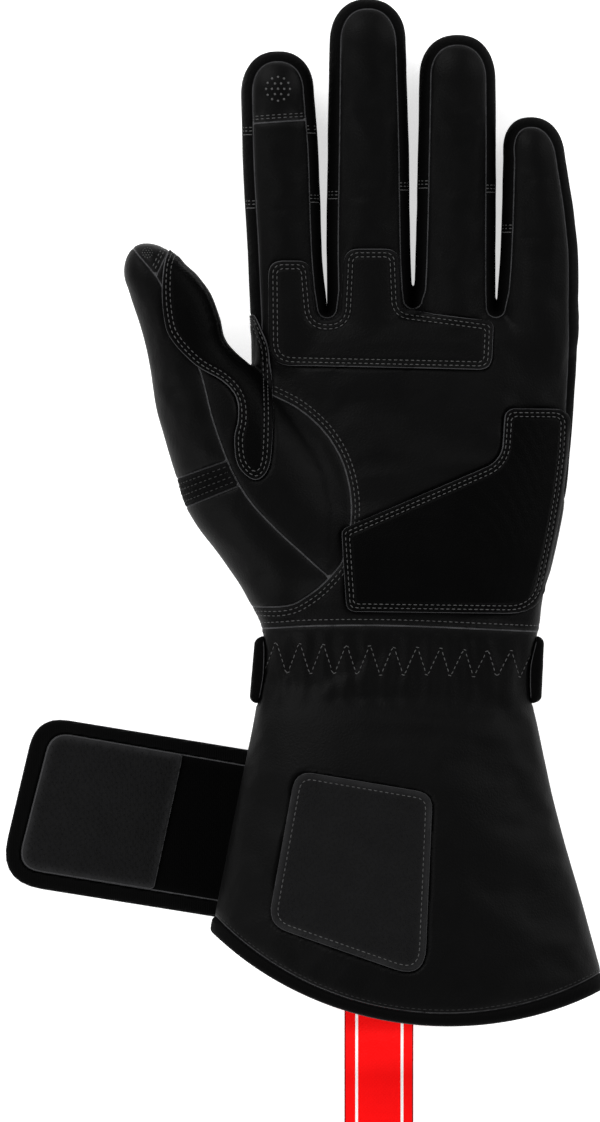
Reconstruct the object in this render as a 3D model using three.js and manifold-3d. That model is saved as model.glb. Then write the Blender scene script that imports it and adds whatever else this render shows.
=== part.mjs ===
// Left-hand gauntlet winter motorcycle glove, lying on its back with the palm up.
// Millimetres. +X runs from the thumb side to the little finger, +Y to the fingertips,
// +Z out of the palm. z = 0 is the surface that the glove rests on, and the origin is
// below the middle of the glove.

import * as THREE from 'three';
import { mergeVertices } from 'three/addons/utils/BufferGeometryUtils.js';
import Module from 'manifold-3d';

const wasm = await Module();
wasm.setup();
const { Manifold, Mesh } = wasm;

// Driving dimensions

const wall = 2.4;               // shell leather, padding and lining together
const seamGap = 0.3;            // open line between two panels that are sewn together
const overlayGap = 0.3;         // space under a patch that is sewn on top of a panel
const crotchPatchThickness = 1.5;
const knucklePatchThickness = 1.4;
const heelPatchThickness = 2.3; // padded
const loopPatchThickness = 1.5;
const strapThickness = 3.7;     // wrist strap, measured from the cuff's own surface
const bindingProud = 0.6;       // the hem binding stands this far out of the cuff on both sides
const hookPadThickness = 1.0;
const tabCoreThickness = 2.1;
const tabFoldThickness = 2.5;    // the core's end, folded double where it is sewn under the cuff
const tabBindingThickness = 2.4;
const ribbonWidth = 21.4;
const ribbonThickness = 1.7;    // two layers of the folded ribbon
const fingerCurl = 9;           // rise of the middle fingertip above its root
const fingerCurlLength = 98;
const stripDepth = 4;           // height of the side strips above the belt seam
const thumbTurn = THREE.MathUtils.degToRad(22);

// Superellipse exponents of the sections, and of the fingertips in plan (2 is an ellipse)
const fingerRoundness = { top: 2.2, bottom: 2.6, tip: 2.25 };
const thumbRoundness = { top: 2.2, bottom: 2.4, tip: 1.75 };
const tipFlatness = 0.8;        // a fingertip keeps its height longer than its width

// Places off the glove on every side, for cutting in plan
const skyHeight = 90;
const groundDepth = -20;
const farLeft = -130;
const farRight = 130;
const farTop = 190;
const farThumbTop = 130;
const farThumbBottom = -40;

// Facets round each form: the hollow inside needs fewer than the outside
const outerFacets = { body: 20, finger: 12, thumb: 14, tip: 3 };
const innerFacets = { body: 14, finger: 8, thumb: 10, tip: 2 };
const cornerFacets = 3;
const fingerLineFacets = 6;
const hemFacets = 10;
const ribbonFacets = 14;
const crotchFacets = 23;

// Sections of the palm, the wrist and the gauntlet, from the mouth to the finger webs.
// squareTop and squareBottom are superellipse exponents, and reach says how much of an
// offset moves the section along the glove, which rounds the end between the fingers.

const bodySections = [
  { along: -150, left: -36.5, right: 99.6, bottom: 2.8, top: 50, squareTop: 2.2, squareBottom: 2.7 },
  { along: -107, left: -27.7, right: 87.6, bottom: 2.8, top: 46, squareTop: 2.2, squareBottom: 2.7 },
  { along: -70, left: -20.3, right: 77.3, bottom: 2.8, top: 41.5, squareTop: 2.2, squareBottom: 2.7 },
  { along: -57.5, left: -17.8, right: 74.6, bottom: 2.9, top: 39, squareTop: 2.3, squareBottom: 2.8 },
  { along: -46.7, left: -15.6, right: 72.4, bottom: 3.4, top: 36, squareTop: 2.4, squareBottom: 2.9 },
  { along: -38.9, left: -14.2, right: 70.8, bottom: 3.8, top: 33.2, squareTop: 2.5, squareBottom: 3 },
  { along: -21.9, left: -12.2, right: 71.8, bottom: 3.9, top: 31.6, squareTop: 2.5, squareBottom: 3.1 },
  { along: -16.6, left: -12.9, right: 72.9, bottom: 3.3, top: 32.5, squareTop: 2.5, squareBottom: 3.2 },
  { along: 2, left: -13.6, right: 76.7, bottom: -0.7, top: 33.2, squareTop: 2.6, squareBottom: 3.6 },
  { along: 25, left: -14.6, right: 81.1, bottom: -1, top: 30.6, squareTop: 2.6, squareBottom: 3.6 },
  { along: 50, left: -15.3, right: 83.45, bottom: -1, top: 27, squareTop: 2.6, squareBottom: 3.5 },
  { along: 73, left: -15.8, right: 84.6, bottom: -0.2, top: 23.4, squareTop: 2.5, squareBottom: 3.2 },
  { along: 79.4, left: -14, right: 83.4, bottom: 1.6, top: 21, squareTop: 2.3, squareBottom: 2.6, reach: 1 },
  { along: 81.4, left: -10, right: 79.5, bottom: 6, top: 16.5, squareTop: 2, squareBottom: 2, reach: 1 },
];

// Fingers. The rows up to the webs lie inside the palm; the last row is the shoulder where
// the rounded fingertip starts.

const indexFinger = {
  tip: { across: -8.0, along: 162.2 },
  rows: [
    { along: 52, left: -11, right: 5.5 },
    { along: 76, left: -16.1, right: 8.1 },
    { along: 85, left: -16.6, right: 6.85 },
    { along: 100.6, left: -17.3, right: 5.5 },
    { along: 131.6, left: -18.9, right: 4.4 },
    { along: 149, left: -19.2, right: 3 },
  ],
};
const middleFinger = {
  tip: { across: 19.9, along: 178.5 },
  rows: [
    { along: 52, left: 10, right: 31 },
    { along: 76, left: 7.3, right: 33.9 },
    { along: 85, left: 7.5, right: 33.75 },
    { along: 100.6, left: 7.3, right: 33.05 },
    { along: 131.6, left: 7.7, right: 32.55 },
    { along: 164, left: 8.1, right: 31.65 },
  ],
};
const ringFinger = {
  tip: { across: 47.7, along: 167.3 },
  rows: [
    { along: 52, left: 36.5, right: 57.5 },
    { along: 76, left: 33.4, right: 59.9 },
    { along: 85, left: 34.2, right: 59.5 },
    { along: 100.6, left: 34.9, right: 59.5 },
    { along: 131.6, left: 35.6, right: 59.6 },
    { along: 153.3, left: 36.0, right: 59.5 },
  ],
};
const littleFinger = {
  tip: { across: 70.5, along: 141.9 },
  rows: [
    { along: 52, left: 62.5, right: 79.5 },
    { along: 76, left: 59.7, right: 85.1 },
    { along: 85, left: 60.1, right: 85.1 },
    { along: 96, left: 60.9, right: 85.1 },
    { along: 110, left: 61.5, right: 84.0 },
    { along: 129, left: 62.0, right: 81.2 },
  ],
};
const fingers = [indexFinger, middleFinger, ringFinger, littleFinger];

// Thickness of every finger along its length, without the curl
const fingerDepths = [
  { along: 52, bottom: 4.5, top: 21.5 },
  { along: 76, bottom: 0.4, top: 22.6 },
  { along: 100, bottom: 0.8, top: 21.6 },
  { along: 135, bottom: 1.6, top: 20.8 },
  { along: 180, bottom: 2.0, top: 20.2 },
];

// The thumb, in a frame turned by thumbTurn: along points to its tip, left and right lie
// across it. Its lower rows swell into the ball of the thumb and lie inside the palm.

const thumbSections = [
  { along: -14, left: -12.6, right: 8, bottom: 6, top: 28 },
  { along: -7, left: -17.9, right: 13, bottom: 4, top: 32 },
  { along: 3, left: -19, right: 17.5, bottom: 2.5, top: 35 },
  { along: 16.3, left: -22, right: 21.5, bottom: 1.5, top: 36.8 },
  { along: 27, left: -24.9, right: 22, bottom: 1.5, top: 37 },
  { along: 34, left: -25.9, right: 20.5, bottom: 2, top: 36.6 },
  { along: 44, left: -25, right: 17, bottom: 3.5, top: 35.8 },
  { along: 54, left: -24, right: 13, bottom: 5.5, top: 35 },
  { along: 64, left: -22.9, right: 9.6, bottom: 8, top: 34.4 },
  { along: 72, left: -21.2, right: 5.7, bottom: 10, top: 34 },
  { along: 77, left: -20, right: 4.3, bottom: 10.9, top: 33.9 },
  { along: 83, left: -18.8, right: 5.3, bottom: 12, top: 33.8 },
  { along: 90, left: -18, right: 5.6, bottom: 12.8, top: 33.6 },
  { along: 98, left: -17.5, right: 3.9, bottom: 13.6, top: 33 },
  { along: 103, left: -17.1, right: 1.5, bottom: 14, top: 32.7 },
];
const thumbTip = { along: 114, across: -9.2 };

// Height of the seam between the palm side and the back. thumbRise is added past the left
// edge of the palm, where the thumb lies higher.

const seamHeights = [
  { along: -160, height: 25.5, thumbRise: 0 },
  { along: -107, height: 24, thumbRise: 0 },
  { along: -57, height: 20.5, thumbRise: 0 },
  { along: -25, height: 17.5, thumbRise: 0 },
  { along: -12, height: 15.5, thumbRise: 0.5 },
  { along: 10, height: 12.5, thumbRise: 3.5 },
  { along: 35, height: 10.8, thumbRise: 5.5 },
  { along: 62, height: 8.8, thumbRise: 9.5 },
  { along: 80, height: 7.5, thumbRise: 13 },
  { along: 112, height: 8.3, thumbRise: 14 },
  { along: 140, height: 10.6, thumbRise: 14 },
  { along: 185, height: 16.4, thumbRise: 14 },
];
const thumbRiseStart = -14;
const thumbRiseFull = -26;

// Seam lines and patch outlines in plan

const fingerInset = { left: 3.2, right: 2.8, tip: 3.1 };
const webBottoms = [
  { across: 7.3, along: 79.8 },
  { across: 33.9, along: 82.6 },
  { across: 59.6, along: 79.9 },
];
const webHalfWidth = 2.3;
const webRise = 1.1;
const fingerLineStart = 84;     // above here the palm's outline follows the fingers
const palmRightEdge = [
  [82.2, 84], [82.3, 70], [81.7, 57], [81.2, 46], [80.9, 35], [81, 24], [82, 11], [82, -24],
];
const belowWrist = [-26, -24];
const heelCorner = { left: 40, low: -24, high: 22 }; // here the palm panel wraps round to the belt seam
const wristSeam = [[-40, -17], [-12, -16.7], [3.3, -15.9], [30, -15.9], [72.2, -17.7], [100, -18.6]];
const ballArc = [[-10, 56], [-1.5, 51.5], [6.6, 44.1], [12.4, 34], [14.8, 21], [12.9, 6.5], [8, -1],
  [1.1, -7], [-6.9, -10.1], [-26, -9.5]];
const forkLine = [[-13, 76], [-10.5, 66], [-10, 56]];
const stripFoot = [[-10, 56], [-15.7, 63.2], [-18.6, 70], [-22, 82], [-34, 106], [-34, 130]];
const thumbSeam = [[-58, 108], [-52.1, 100.1], [-43.8, 89.2], [-39.5, 75], [-32.5, 64.3], [-27.7, 46.3],
  [-20.9, 29.3], [-11.6, 16.9], [8, -1]];
const thumbTouchLine = [[-40.2, 103.5], [-42, 99.8], [-45.9, 92]];
const insertTopLine = [[-48, 26.6], [-38.8, 29.9], [-23.2, 35.4]];
const insertBottomLine = [[-46, 17], [-35.2, 21.3], [-19.7, 27.6]];
const indexTouchLine = [[-30, 138.5], [-15.4, 139.7], [1.1, 140.8], [6.5, 141.2]];
const thumbBackLine = [[-23, 86], [-18.6, 70], [-12.5, 58], [-9, 40], [-9, 20], [-13, 2], [-30, -12]];
const fingertipSeamReach = 9;   // the seam between two side strips crosses the fingertip

// The remaining corners of the areas that part the panels. Those of the thumb's areas lie off
// it or inside other panels
const indexTouchFar = [[6.5, farTop], [-30, farTop]];
const thumbSideFar = [[farLeft, farThumbTop], [farLeft, farThumbBottom], [15, farThumbBottom], [15.5, 56]];
const outerThumbFar = [[8, farThumbBottom], [farLeft, farThumbBottom], [farLeft, 108]];
const aboveInsertFar = [[-15, 38.3], [-15, farThumbTop], [farLeft, farThumbTop], [farLeft, -3]];
const belowInsertFar = [[20, 43.7], [20, farThumbBottom], [farLeft, farThumbBottom], [farLeft, -17]];
const thumbTouchFar = [[-49.5, 84.8], [-75, 100], [-60, farThumbTop], [-40.2, farThumbTop]];
const thumbBackFar = [[farLeft, -12], [farLeft, farThumbTop], [-34, farThumbTop], [-34, 106]];
const stripLow = { index: 50, between: 70, little: 20 };

const knuckleCorners = [
  { x: -10.8, y: 97.2, round: 4.3 },
  { x: 1.5, y: 97.2, round: 3.7 },
  { x: 3.2, y: 78.6, round: 4.3 },
  { x: 11.8, y: 78.6, round: 4.3 },
  { x: 12.9, y: 100.9, round: 4.3 },
  { x: 29.2, y: 100.9, round: 4.3 },
  { x: 30.0, y: 82.1, round: 3.4 },
  { x: 58.9, y: 78.3, round: 2.5 },
  { x: 58.2, y: 63.3, round: 4.3 },
  { x: -10.5, y: 64.8, round: 7.4 },
];
const heelCorners = [
  { x: 62.3, y: 51.3, round: 3.5 },
  { x: 82.4, y: 51.2, round: 5 },
  { x: 81.8, y: 38, round: 0 },
  { x: 80.2, y: 25, round: 0 },
  { x: 77.8, y: 11, round: 0 },
  { x: 75.9, y: 2, round: 0 },
  { x: 73.2, y: -12.2, round: 12 },
  { x: 13.4, y: -11.4, round: 3.1 },
  { x: 11.7, y: 13.8, round: 2.5 },
  { x: 61.2, y: 35.2, round: 9 },
];
const crotchOutline = [
  [-42, 99.8], [-43.8, 89.7], [-42.9, 78.4], [-40.4, 72.1], [-33.3, 64.6], [-25.2, 59.7],
  [-21, 54.6], [-20.3, 48], [-21.4, 42], [-20.2, 33.6], [-15, 29.2], [-10.8, 33], [-9.7, 44],
  [-9.8, 58], [-10.5, 69.7], [-12.6, 75.6], [-15.1, 80.4], [-17.6, 81], [-22, 90], [-34, 106],
];
const loopPatchCorners = [
  { x: -2.3, y: -60.6, round: 5.6 },
  { x: 39.9, y: -67.7, round: 5.6 },
  { x: 37.4, y: -125.1, round: 7.4 },
  { x: -10.9, y: -108.3, round: 7.4 },
];
const strapCorners = [
  { x: -16.2, y: -19.1, round: 2.5 },
  { x: 75.2, y: -19.1, round: 2.5 },
  { x: 74.6, y: -39.7, round: 2.5 },
  { x: -17.9, y: -39.7, round: 2.5 },
];
const tabOuterCorners = [
  { x: -83, y: -43.7, round: 10.8 },
  { x: -95.2, y: -95.6, round: 13 },
  { x: -4.5, y: -110.1, round: 0 },
  { x: 5.5, y: -58.2, round: 0 },
];
const tabInnerCorners = [
  { x: -78.4, y: -48.8, round: 6.8 },
  { x: -89.2, y: -91.2, round: 6.8 },
  { x: 15.2, y: -108.3, round: 0 },
  { x: 23.4, y: -66.4, round: 0 },
];
const hookPadCorners = [
  { x: -78.0, y: -49.2, round: 6.5 },
  { x: -88.7, y: -90.9, round: 6.5 },
  { x: -46.7, y: -97.6, round: 1 },
  { x: -37.7, y: -56.2, round: 1 },
];
const tabFold = { left: 7, right: 30, low: -115, high: -60 }; // the core's folded end lies in here
const hemPoints = [[-26.1, -113.3], [46.6, -139.4], [87.4, -130.9]];
const bindingPoints = [[-24.4, -108.6], [30, -134.4], [87.6, -125.4]];
const arcOverrun = THREE.MathUtils.degToRad(7); // both arcs run on past the sides of the cuff

// The red ribbon, seen from the side: along and height of its middle, from its sewn end
// inside the mouth to the fold at its free end
const ribbonPath = [
  [-117, 7.6], [-136, 7.5], [-142.5, 6.6], [-147.5, 3.1], [-153, 1.05], [-160, 0.9], [-177.5, 0.9],
];
const ribbonCentre = 23.4;

// Helpers for points in plan

function vectors(points) {
  return points.map(([x, y]) => new THREE.Vector2(x, y));
}

function rounded(corners) {
  const points = [];
  corners.forEach((corner, i) => {
    const here = new THREE.Vector2(corner.x, corner.y);
    if (corner.round === 0) {
      points.push(here);
      return;
    }
    const before = corners[(i + corners.length - 1) % corners.length];
    const after = corners[(i + 1) % corners.length];
    const back = new THREE.Vector2(before.x, before.y).sub(here).normalize();
    const ahead = new THREE.Vector2(after.x, after.y).sub(here).normalize();
    const reach = corner.round / Math.tan(Math.acos(back.dot(ahead)) / 2);
    const start = here.clone().addScaledVector(back, reach);
    const end = here.clone().addScaledVector(ahead, reach);
    points.push(...new THREE.QuadraticBezierCurve(start, here, end).getPoints(cornerFacets));
  });
  return points;
}

function smooth(points, steps) {
  return new THREE.SplineCurve(vectors(points)).getPoints(steps);
}

function arcThrough(points) {
  const [a, b, c] = vectors(points);
  const d = 2 * (a.x * (b.y - c.y) + b.x * (c.y - a.y) + c.x * (a.y - b.y));
  const centre = new THREE.Vector2(
    (a.lengthSq() * (b.y - c.y) + b.lengthSq() * (c.y - a.y) + c.lengthSq() * (a.y - b.y)) / d,
    (a.lengthSq() * (c.x - b.x) + b.lengthSq() * (a.x - c.x) + c.lengthSq() * (b.x - a.x)) / d,
  );
  const from = a.clone().sub(centre).angle() - arcOverrun;
  const to = c.clone().sub(centre).angle() + arcOverrun;
  return new THREE.EllipseCurve(centre.x, centre.y, centre.distanceTo(a), centre.distanceTo(a), from, to)
    .getPoints(hemFacets);
}

// The line moved to its left by a distance. A closed line goes on from its last point to its first
function sideways(points, distance, closed) {
  const count = points.length;
  return points.map((point, i) => {
    const before = closed ? points[(i + count - 1) % count] : points[Math.max(i - 1, 0)];
    const after = closed ? points[(i + 1) % count] : points[Math.min(i + 1, count - 1)];
    const incoming = point.clone().sub(before);
    const outgoing = after.clone().sub(point);
    const arriving = incoming.lengthSq() > 0 ? incoming.normalize() : outgoing.clone().normalize();
    const leaving = outgoing.lengthSq() > 0 ? outgoing.normalize() : arriving.clone();
    const mitre = arriving.clone().add(leaving).normalize();
    const normal = new THREE.Vector2(-mitre.y, mitre.x);
    const stretch = distance / Math.max(0.5, normal.dot(new THREE.Vector2(-arriving.y, arriving.x)));
    return point.clone().addScaledVector(normal, stretch);
  });
}

function valueAt(table, along, column) {
  const next = table.findIndex((row) => row.along >= along);
  if (next === -1) {
    return table[table.length - 1][column];
  }
  if (next === 0) {
    return table[0][column];
  }
  const low = table[next - 1];
  const high = table[next];
  return THREE.MathUtils.mapLinear(along, low.along, high.along, low[column], high[column]);
}

// Helpers for solids

const mergeTolerance = 1e-5;

function toSolid(geometry) {
  const bare = geometry.clone();
  bare.deleteAttribute('normal');
  bare.deleteAttribute('uv');
  const merged = mergeVertices(bare, mergeTolerance);
  return new Manifold(new Mesh({
    numProp: 3,
    vertProperties: new Float32Array(merged.getAttribute('position').array),
    triVerts: new Uint32Array(merged.getIndex().array),
  }));
}

function union(solids) {
  return solids.reduce((whole, solid) => whole.add(solid));
}

function prism(outline, low = groundDepth, high = skyHeight) {
  const shape = new THREE.Shape(outline);
  const geometry = new THREE.ExtrudeGeometry(shape, { depth: high - low, bevelEnabled: false });
  return toSolid(geometry.translate(0, 0, low));
}

// A narrow upright cut along a seam line
function seamCut(line) {
  const left = sideways(line, seamGap / 2, false);
  const right = sideways(line, -seamGap / 2, false);
  return prism([...left, ...right.reverse()]);
}

// One closed body through rings of points, from a flat start to an apex or a flat end
function skinRings(rings, apex) {
  const sides = rings[0].length;
  const start = rings[0].reduce((sum, p) => sum.add(p), new THREE.Vector3()).divideScalar(sides);
  const lastRing = rings[rings.length - 1];
  const end = apex ?? lastRing.reduce((sum, p) => sum.add(p), new THREE.Vector3()).divideScalar(sides);
  const positions = [...rings.flat(), start, end].flatMap((p) => [p.x, p.y, p.z]);
  const startIndex = rings.length * sides;
  const endIndex = startIndex + 1;
  const lastStart = (rings.length - 1) * sides;
  const faces = [];
  for (let k = 0; k < sides; k += 1) {
    const next = (k + 1) % sides;
    faces.push(startIndex, k, next);
    faces.push(endIndex, lastStart + next, lastStart + k);
    for (let row = 0; row < rings.length - 1; row += 1) {
      const low = row * sides;
      const high = low + sides;
      faces.push(low + k, high + k, low + next);
      faces.push(low + next, high + k, high + next);
    }
  }
  const geometry = new THREE.BufferGeometry();
  geometry.setAttribute('position', new THREE.Float32BufferAttribute(positions, 3));
  geometry.setIndex(faces);
  return toSolid(geometry);
}

// A superellipse ring. Where it would dip below the floor it is pressed flat against it.
function sectionRing(section, sides, turn) {
  const across = (section.left + section.right) / 2;
  const halfWidth = (section.right - section.left) / 2;
  const centreHeight = (section.bottom + section.top) / 2;
  const halfHeight = (section.top - section.bottom) / 2;
  const ring = [];
  for (let k = 0; k < sides; k += 1) {
    const angle = (2 * Math.PI * k) / sides;
    const cosine = Math.cos(angle);
    const sine = Math.sin(angle);
    const power = 2 / (sine >= 0 ? section.squareTop : section.squareBottom);
    const x = across + halfWidth * Math.sign(cosine) * Math.abs(cosine) ** power;
    const z = centreHeight + halfHeight * Math.sign(sine) * Math.abs(sine) ** power;
    const point = new THREE.Vector3(x, section.along, Math.max(z, section.floor));
    ring.push(point.applyAxisAngle(new THREE.Vector3(0, 0, 1), turn));
  }
  return ring;
}

function grown(section, offset) {
  return {
    ...section,
    along: section.along + (section.reach ?? 0) * offset,
    left: section.left - offset,
    right: section.right + offset,
    bottom: section.bottom - offset,
    top: section.top + offset,
    floor: Math.max(0, -offset),
  };
}

// Rings that close a finger from its shoulder section to its tip. The last step, on to the
// apex, is a little shorter than the others
const lastTipStep = 0.75;

function tipSections(shoulder, tip, offset, steps) {
  const centre = (shoulder.left + shoulder.right) / 2;
  const halfWidth = (shoulder.right - shoulder.left) / 2;
  const middle = (shoulder.bottom + shoulder.top) / 2;
  const halfHeight = (shoulder.top - shoulder.bottom) / 2;
  const sections = [];
  for (let k = 1; k <= steps; k += 1) {
    const angle = (k / (steps + lastTipStep)) * (Math.PI / 2);
    const forward = Math.sin(angle) ** (2 / shoulder.tipRoundness);
    const aside = Math.cos(angle) ** (2 / shoulder.tipRoundness);
    const across = THREE.MathUtils.lerp(centre, tip.across, forward);
    sections.push({
      ...shoulder,
      along: THREE.MathUtils.lerp(shoulder.along, tip.along + offset, forward),
      left: across - halfWidth * aside,
      right: across + halfWidth * aside,
      bottom: middle - halfHeight * Math.cos(angle) ** tipFlatness,
      top: middle + halfHeight * Math.cos(angle) ** tipFlatness,
    });
  }
  return sections;
}

function facetsFor(offset) {
  return offset < 0 ? innerFacets : outerFacets;
}

function taperedLoft(sections, tip, offset, sides, turn) {
  const outer = sections.map((section) => grown(section, offset));
  const shoulder = outer[outer.length - 1];
  const all = [...outer, ...tipSections(shoulder, tip, offset, facetsFor(offset).tip)];
  const height = (shoulder.bottom + shoulder.top) / 2;
  const apex = new THREE.Vector3(tip.across, tip.along + offset, height);
  apex.applyAxisAngle(new THREE.Vector3(0, 0, 1), turn);
  return skinRings(all.map((section) => sectionRing(section, sides, turn)), apex);
}

// The form of the glove, grown or shrunk by an offset

function curlAt(along) {
  const start = fingerDepths[1].along;
  return fingerCurl * (Math.max(0, along - start) / fingerCurlLength) ** 2;
}

function bodyForm(offset) {
  const sections = bodySections.map((section) => grown(section, offset));
  return skinRings(sections.map((section) => sectionRing(section, facetsFor(offset).body, 0)), null);
}

function fingerForm(finger, offset) {
  const sections = finger.rows.map((row) => ({
    ...row,
    bottom: valueAt(fingerDepths, row.along, 'bottom') + curlAt(row.along),
    top: valueAt(fingerDepths, row.along, 'top') + curlAt(row.along),
    squareTop: fingerRoundness.top,
    squareBottom: fingerRoundness.bottom,
    tipRoundness: fingerRoundness.tip,
  }));
  return taperedLoft(sections, finger.tip, offset, facetsFor(offset).finger, 0);
}

function thumbForm(offset) {
  const sections = thumbSections.map((section) => ({
    ...section,
    squareTop: thumbRoundness.top,
    squareBottom: thumbRoundness.bottom,
    tipRoundness: thumbRoundness.tip,
  }));
  return taperedLoft(sections, thumbTip, offset, facetsFor(offset).thumb, thumbTurn);
}

function gloveForm(offset) {
  return union([bodyForm(offset), ...fingers.map((finger) => fingerForm(finger, offset)), thumbForm(offset)]);
}

// A solid between two heights that follow the seam surface, over the whole glove
function seamSlab(lowAt, highAt) {
  const columns = [farLeft, thumbRiseFull, thumbRiseStart, farRight];
  const rise = [1, 1, 0, 0];
  const low = [];
  const high = [];
  seamHeights.forEach((row) => {
    columns.forEach((x, i) => {
      const height = row.height + row.thumbRise * rise[i];
      low.push(new THREE.Vector3(x, row.along, lowAt(height)));
      high.push(new THREE.Vector3(x, row.along, highAt(height)));
    });
  });
  const across = columns.length;
  const rows = seamHeights.length;
  const lift = low.length;
  const faces = [];
  for (let j = 0; j < rows - 1; j += 1) {
    for (let i = 0; i < across - 1; i += 1) {
      const a = j * across + i;
      const b = a + across;
      faces.push(lift + a, lift + a + 1, lift + b, lift + b, lift + a + 1, lift + b + 1);
      faces.push(a, b, a + 1, b, b + 1, a + 1);
    }
  }
  const border = [];
  for (let i = 0; i < across; i += 1) {
    border.push(i);
  }
  for (let j = 1; j < rows; j += 1) {
    border.push(j * across + across - 1);
  }
  for (let i = across - 2; i >= 0; i -= 1) {
    border.push((rows - 1) * across + i);
  }
  for (let j = rows - 2; j > 0; j -= 1) {
    border.push(j * across);
  }
  border.forEach((from, i) => {
    const to = border[(i + 1) % border.length];
    faces.push(from, to, lift + from, lift + from, to, lift + to);
  });
  const geometry = new THREE.BufferGeometry();
  const positions = [...low, ...high].flatMap((p) => [p.x, p.y, p.z]);
  geometry.setAttribute('position', new THREE.Float32BufferAttribute(positions, 3));
  geometry.setIndex(faces);
  return toSolid(geometry);
}

// The palm panel's outline: up, over and down each finger a little inside its silhouette,
// down the edge of the hand, past the wrist seam, round the ball of the thumb and up the fork

function fingerTopLine(finger) {
  const rows = finger.rows.filter((row) => row.along > fingerLineStart);
  const shoulder = rows[rows.length - 1];
  const left = shoulder.left + fingerInset.left;
  const right = shoulder.right - fingerInset.right;
  const top = finger.tip.along - fingerInset.tip;
  const points = rows.map((row) => new THREE.Vector2(row.left + fingerInset.left, row.along));
  for (let k = 1; k < fingerLineFacets; k += 1) {
    const angle = Math.PI * (1 - k / fingerLineFacets);
    const forward = Math.sin(angle) ** (2 / fingerRoundness.tip);
    const aside = Math.sign(Math.cos(angle)) * Math.abs(Math.cos(angle)) ** (2 / fingerRoundness.tip);
    const centre = THREE.MathUtils.lerp((left + right) / 2, finger.tip.across, forward);
    const x = centre + ((right - left) / 2) * aside;
    points.push(new THREE.Vector2(x, THREE.MathUtils.lerp(shoulder.along, top, forward)));
  }
  const down = [...rows].reverse();
  points.push(...down.map((row) => new THREE.Vector2(row.right - fingerInset.right, row.along)));
  return points;
}

function palmOutline() {
  const points = [];
  fingers.forEach((finger, i) => {
    points.push(...fingerTopLine(finger));
    const web = webBottoms[i];
    if (web) {
      points.push(new THREE.Vector2(web.across - webHalfWidth, web.along + webRise));
      points.push(new THREE.Vector2(web.across, web.along));
      points.push(new THREE.Vector2(web.across + webHalfWidth, web.along + webRise));
    }
  });
  points.push(...vectors([...palmRightEdge, belowWrist]));
  points.push(...vectors(ballArc).reverse().slice(0, -1));
  points.push(...vectors(forkLine).reverse());
  return points;
}

// Solids shared by the panels

const shell = gloveForm(0).subtract(gloveForm(-wall));
const overlayBase = gloveForm(overlayGap);
const aboveSeam = seamSlab((height) => height + seamGap / 2, () => skyHeight);
const belowSeam = seamSlab(() => groundDepth, (height) => height - seamGap / 2);
const aboveStrips = seamSlab((height) => height + stripDepth, () => skyHeight);
const clearOfPalm = seamSlab((height) => height + stripDepth - seamGap, () => skyHeight);
const belowWidest = seamSlab(() => groundDepth, (height) => height + stripDepth);

const palmLine = palmOutline().reverse();
const wristLine = vectors(wristSeam);
const hemLine = arcThrough(hemPoints);
const bindingLine = arcThrough(bindingPoints);
const handArea = prism([
  new THREE.Vector2(farLeft, wristLine[0].y),
  ...wristLine,
  new THREE.Vector2(farRight, wristLine[wristLine.length - 1].y),
  new THREE.Vector2(farRight, farTop),
  new THREE.Vector2(farLeft, farTop),
]);
const cuffArea = prism([
  new THREE.Vector2(farLeft, bindingLine[0].y),
  ...bindingLine,
  new THREE.Vector2(farRight, bindingLine[bindingLine.length - 1].y),
  new THREE.Vector2(farRight, wristLine[wristLine.length - 1].y),
  ...[...wristLine].reverse(),
  new THREE.Vector2(farLeft, wristLine[0].y),
]);
const bindingArea = prism([...hemLine, ...sideways(bindingLine, -seamGap / 2, false).reverse()]);

const wristCut = seamCut(wristLine);
const thumbCuts = union([thumbSeam, thumbTouchLine, insertTopLine, insertBottomLine]
  .map((line) => seamCut(vectors(line))));
const stripCuts = union([
  seamCut(vectors(stripFoot)),
  ...fingers.map((finger) => seamCut([
    new THREE.Vector2(finger.tip.across, finger.tip.along - fingertipSeamReach),
    new THREE.Vector2(finger.tip.across, finger.tip.along + fingertipSeamReach),
  ])),
]);

function band(left, right, low, high) {
  return prism(vectors([[left, low], [right, low], [right, high], [left, high]]));
}

function heelBand(growth) {
  return band(heelCorner.left, farRight, heelCorner.low, heelCorner.high + growth);
}

const handTop = shell.intersect(handArea).intersect(aboveSeam).subtract(wristCut);
const palmArea = prism(palmLine).intersect(aboveStrips.add(heelBand(0)));
const palmAndGap = prism(sideways(palmLine, -seamGap, true)).intersect(clearOfPalm.add(heelBand(seamGap)));
const palmFaces = handTop.intersect(palmArea).subtract(seamCut(vectors(indexTouchLine)));
const aroundPalm = handTop.subtract(palmAndGap).subtract(stripCuts);

// Areas in plan that part the panels; their borders run along the cuts

function areaBeside(line, farCorners) {
  return prism(vectors([...line, ...farCorners]));
}

const indexTouchArea = areaBeside(indexTouchLine, indexTouchFar);
const thumbSide = areaBeside(stripFoot, thumbSideFar);
const outerThumbArea = areaBeside(thumbSeam, outerThumbFar);
const aboveInsertArea = areaBeside(insertTopLine, aboveInsertFar);
const belowInsertArea = areaBeside(insertBottomLine, belowInsertFar);
const thumbTouchArea = areaBeside(thumbTouchLine, thumbTouchFar);
const thumbBackArea = areaBeside(thumbBackLine, thumbBackFar);

const thumbTop = aroundPalm.intersect(thumbSide).subtract(thumbCuts);
const outerThumb = thumbTop.intersect(outerThumbArea);
const innerThumb = thumbTop.subtract(outerThumbArea);
const strips = aroundPalm.subtract(thumbSide);

const backHalf = shell.intersect(handArea).intersect(belowSeam).subtract(wristCut);
const backCut = seamCut(vectors(thumbBackLine));

// Panels

function sideStrip(left, right, low) {
  return strips.intersect(band(left, right, low, farTop));
}

function overlay(outline, thickness) {
  return gloveForm(thickness).subtract(overlayBase).intersect(aboveSeam).intersect(prism(outline));
}

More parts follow.
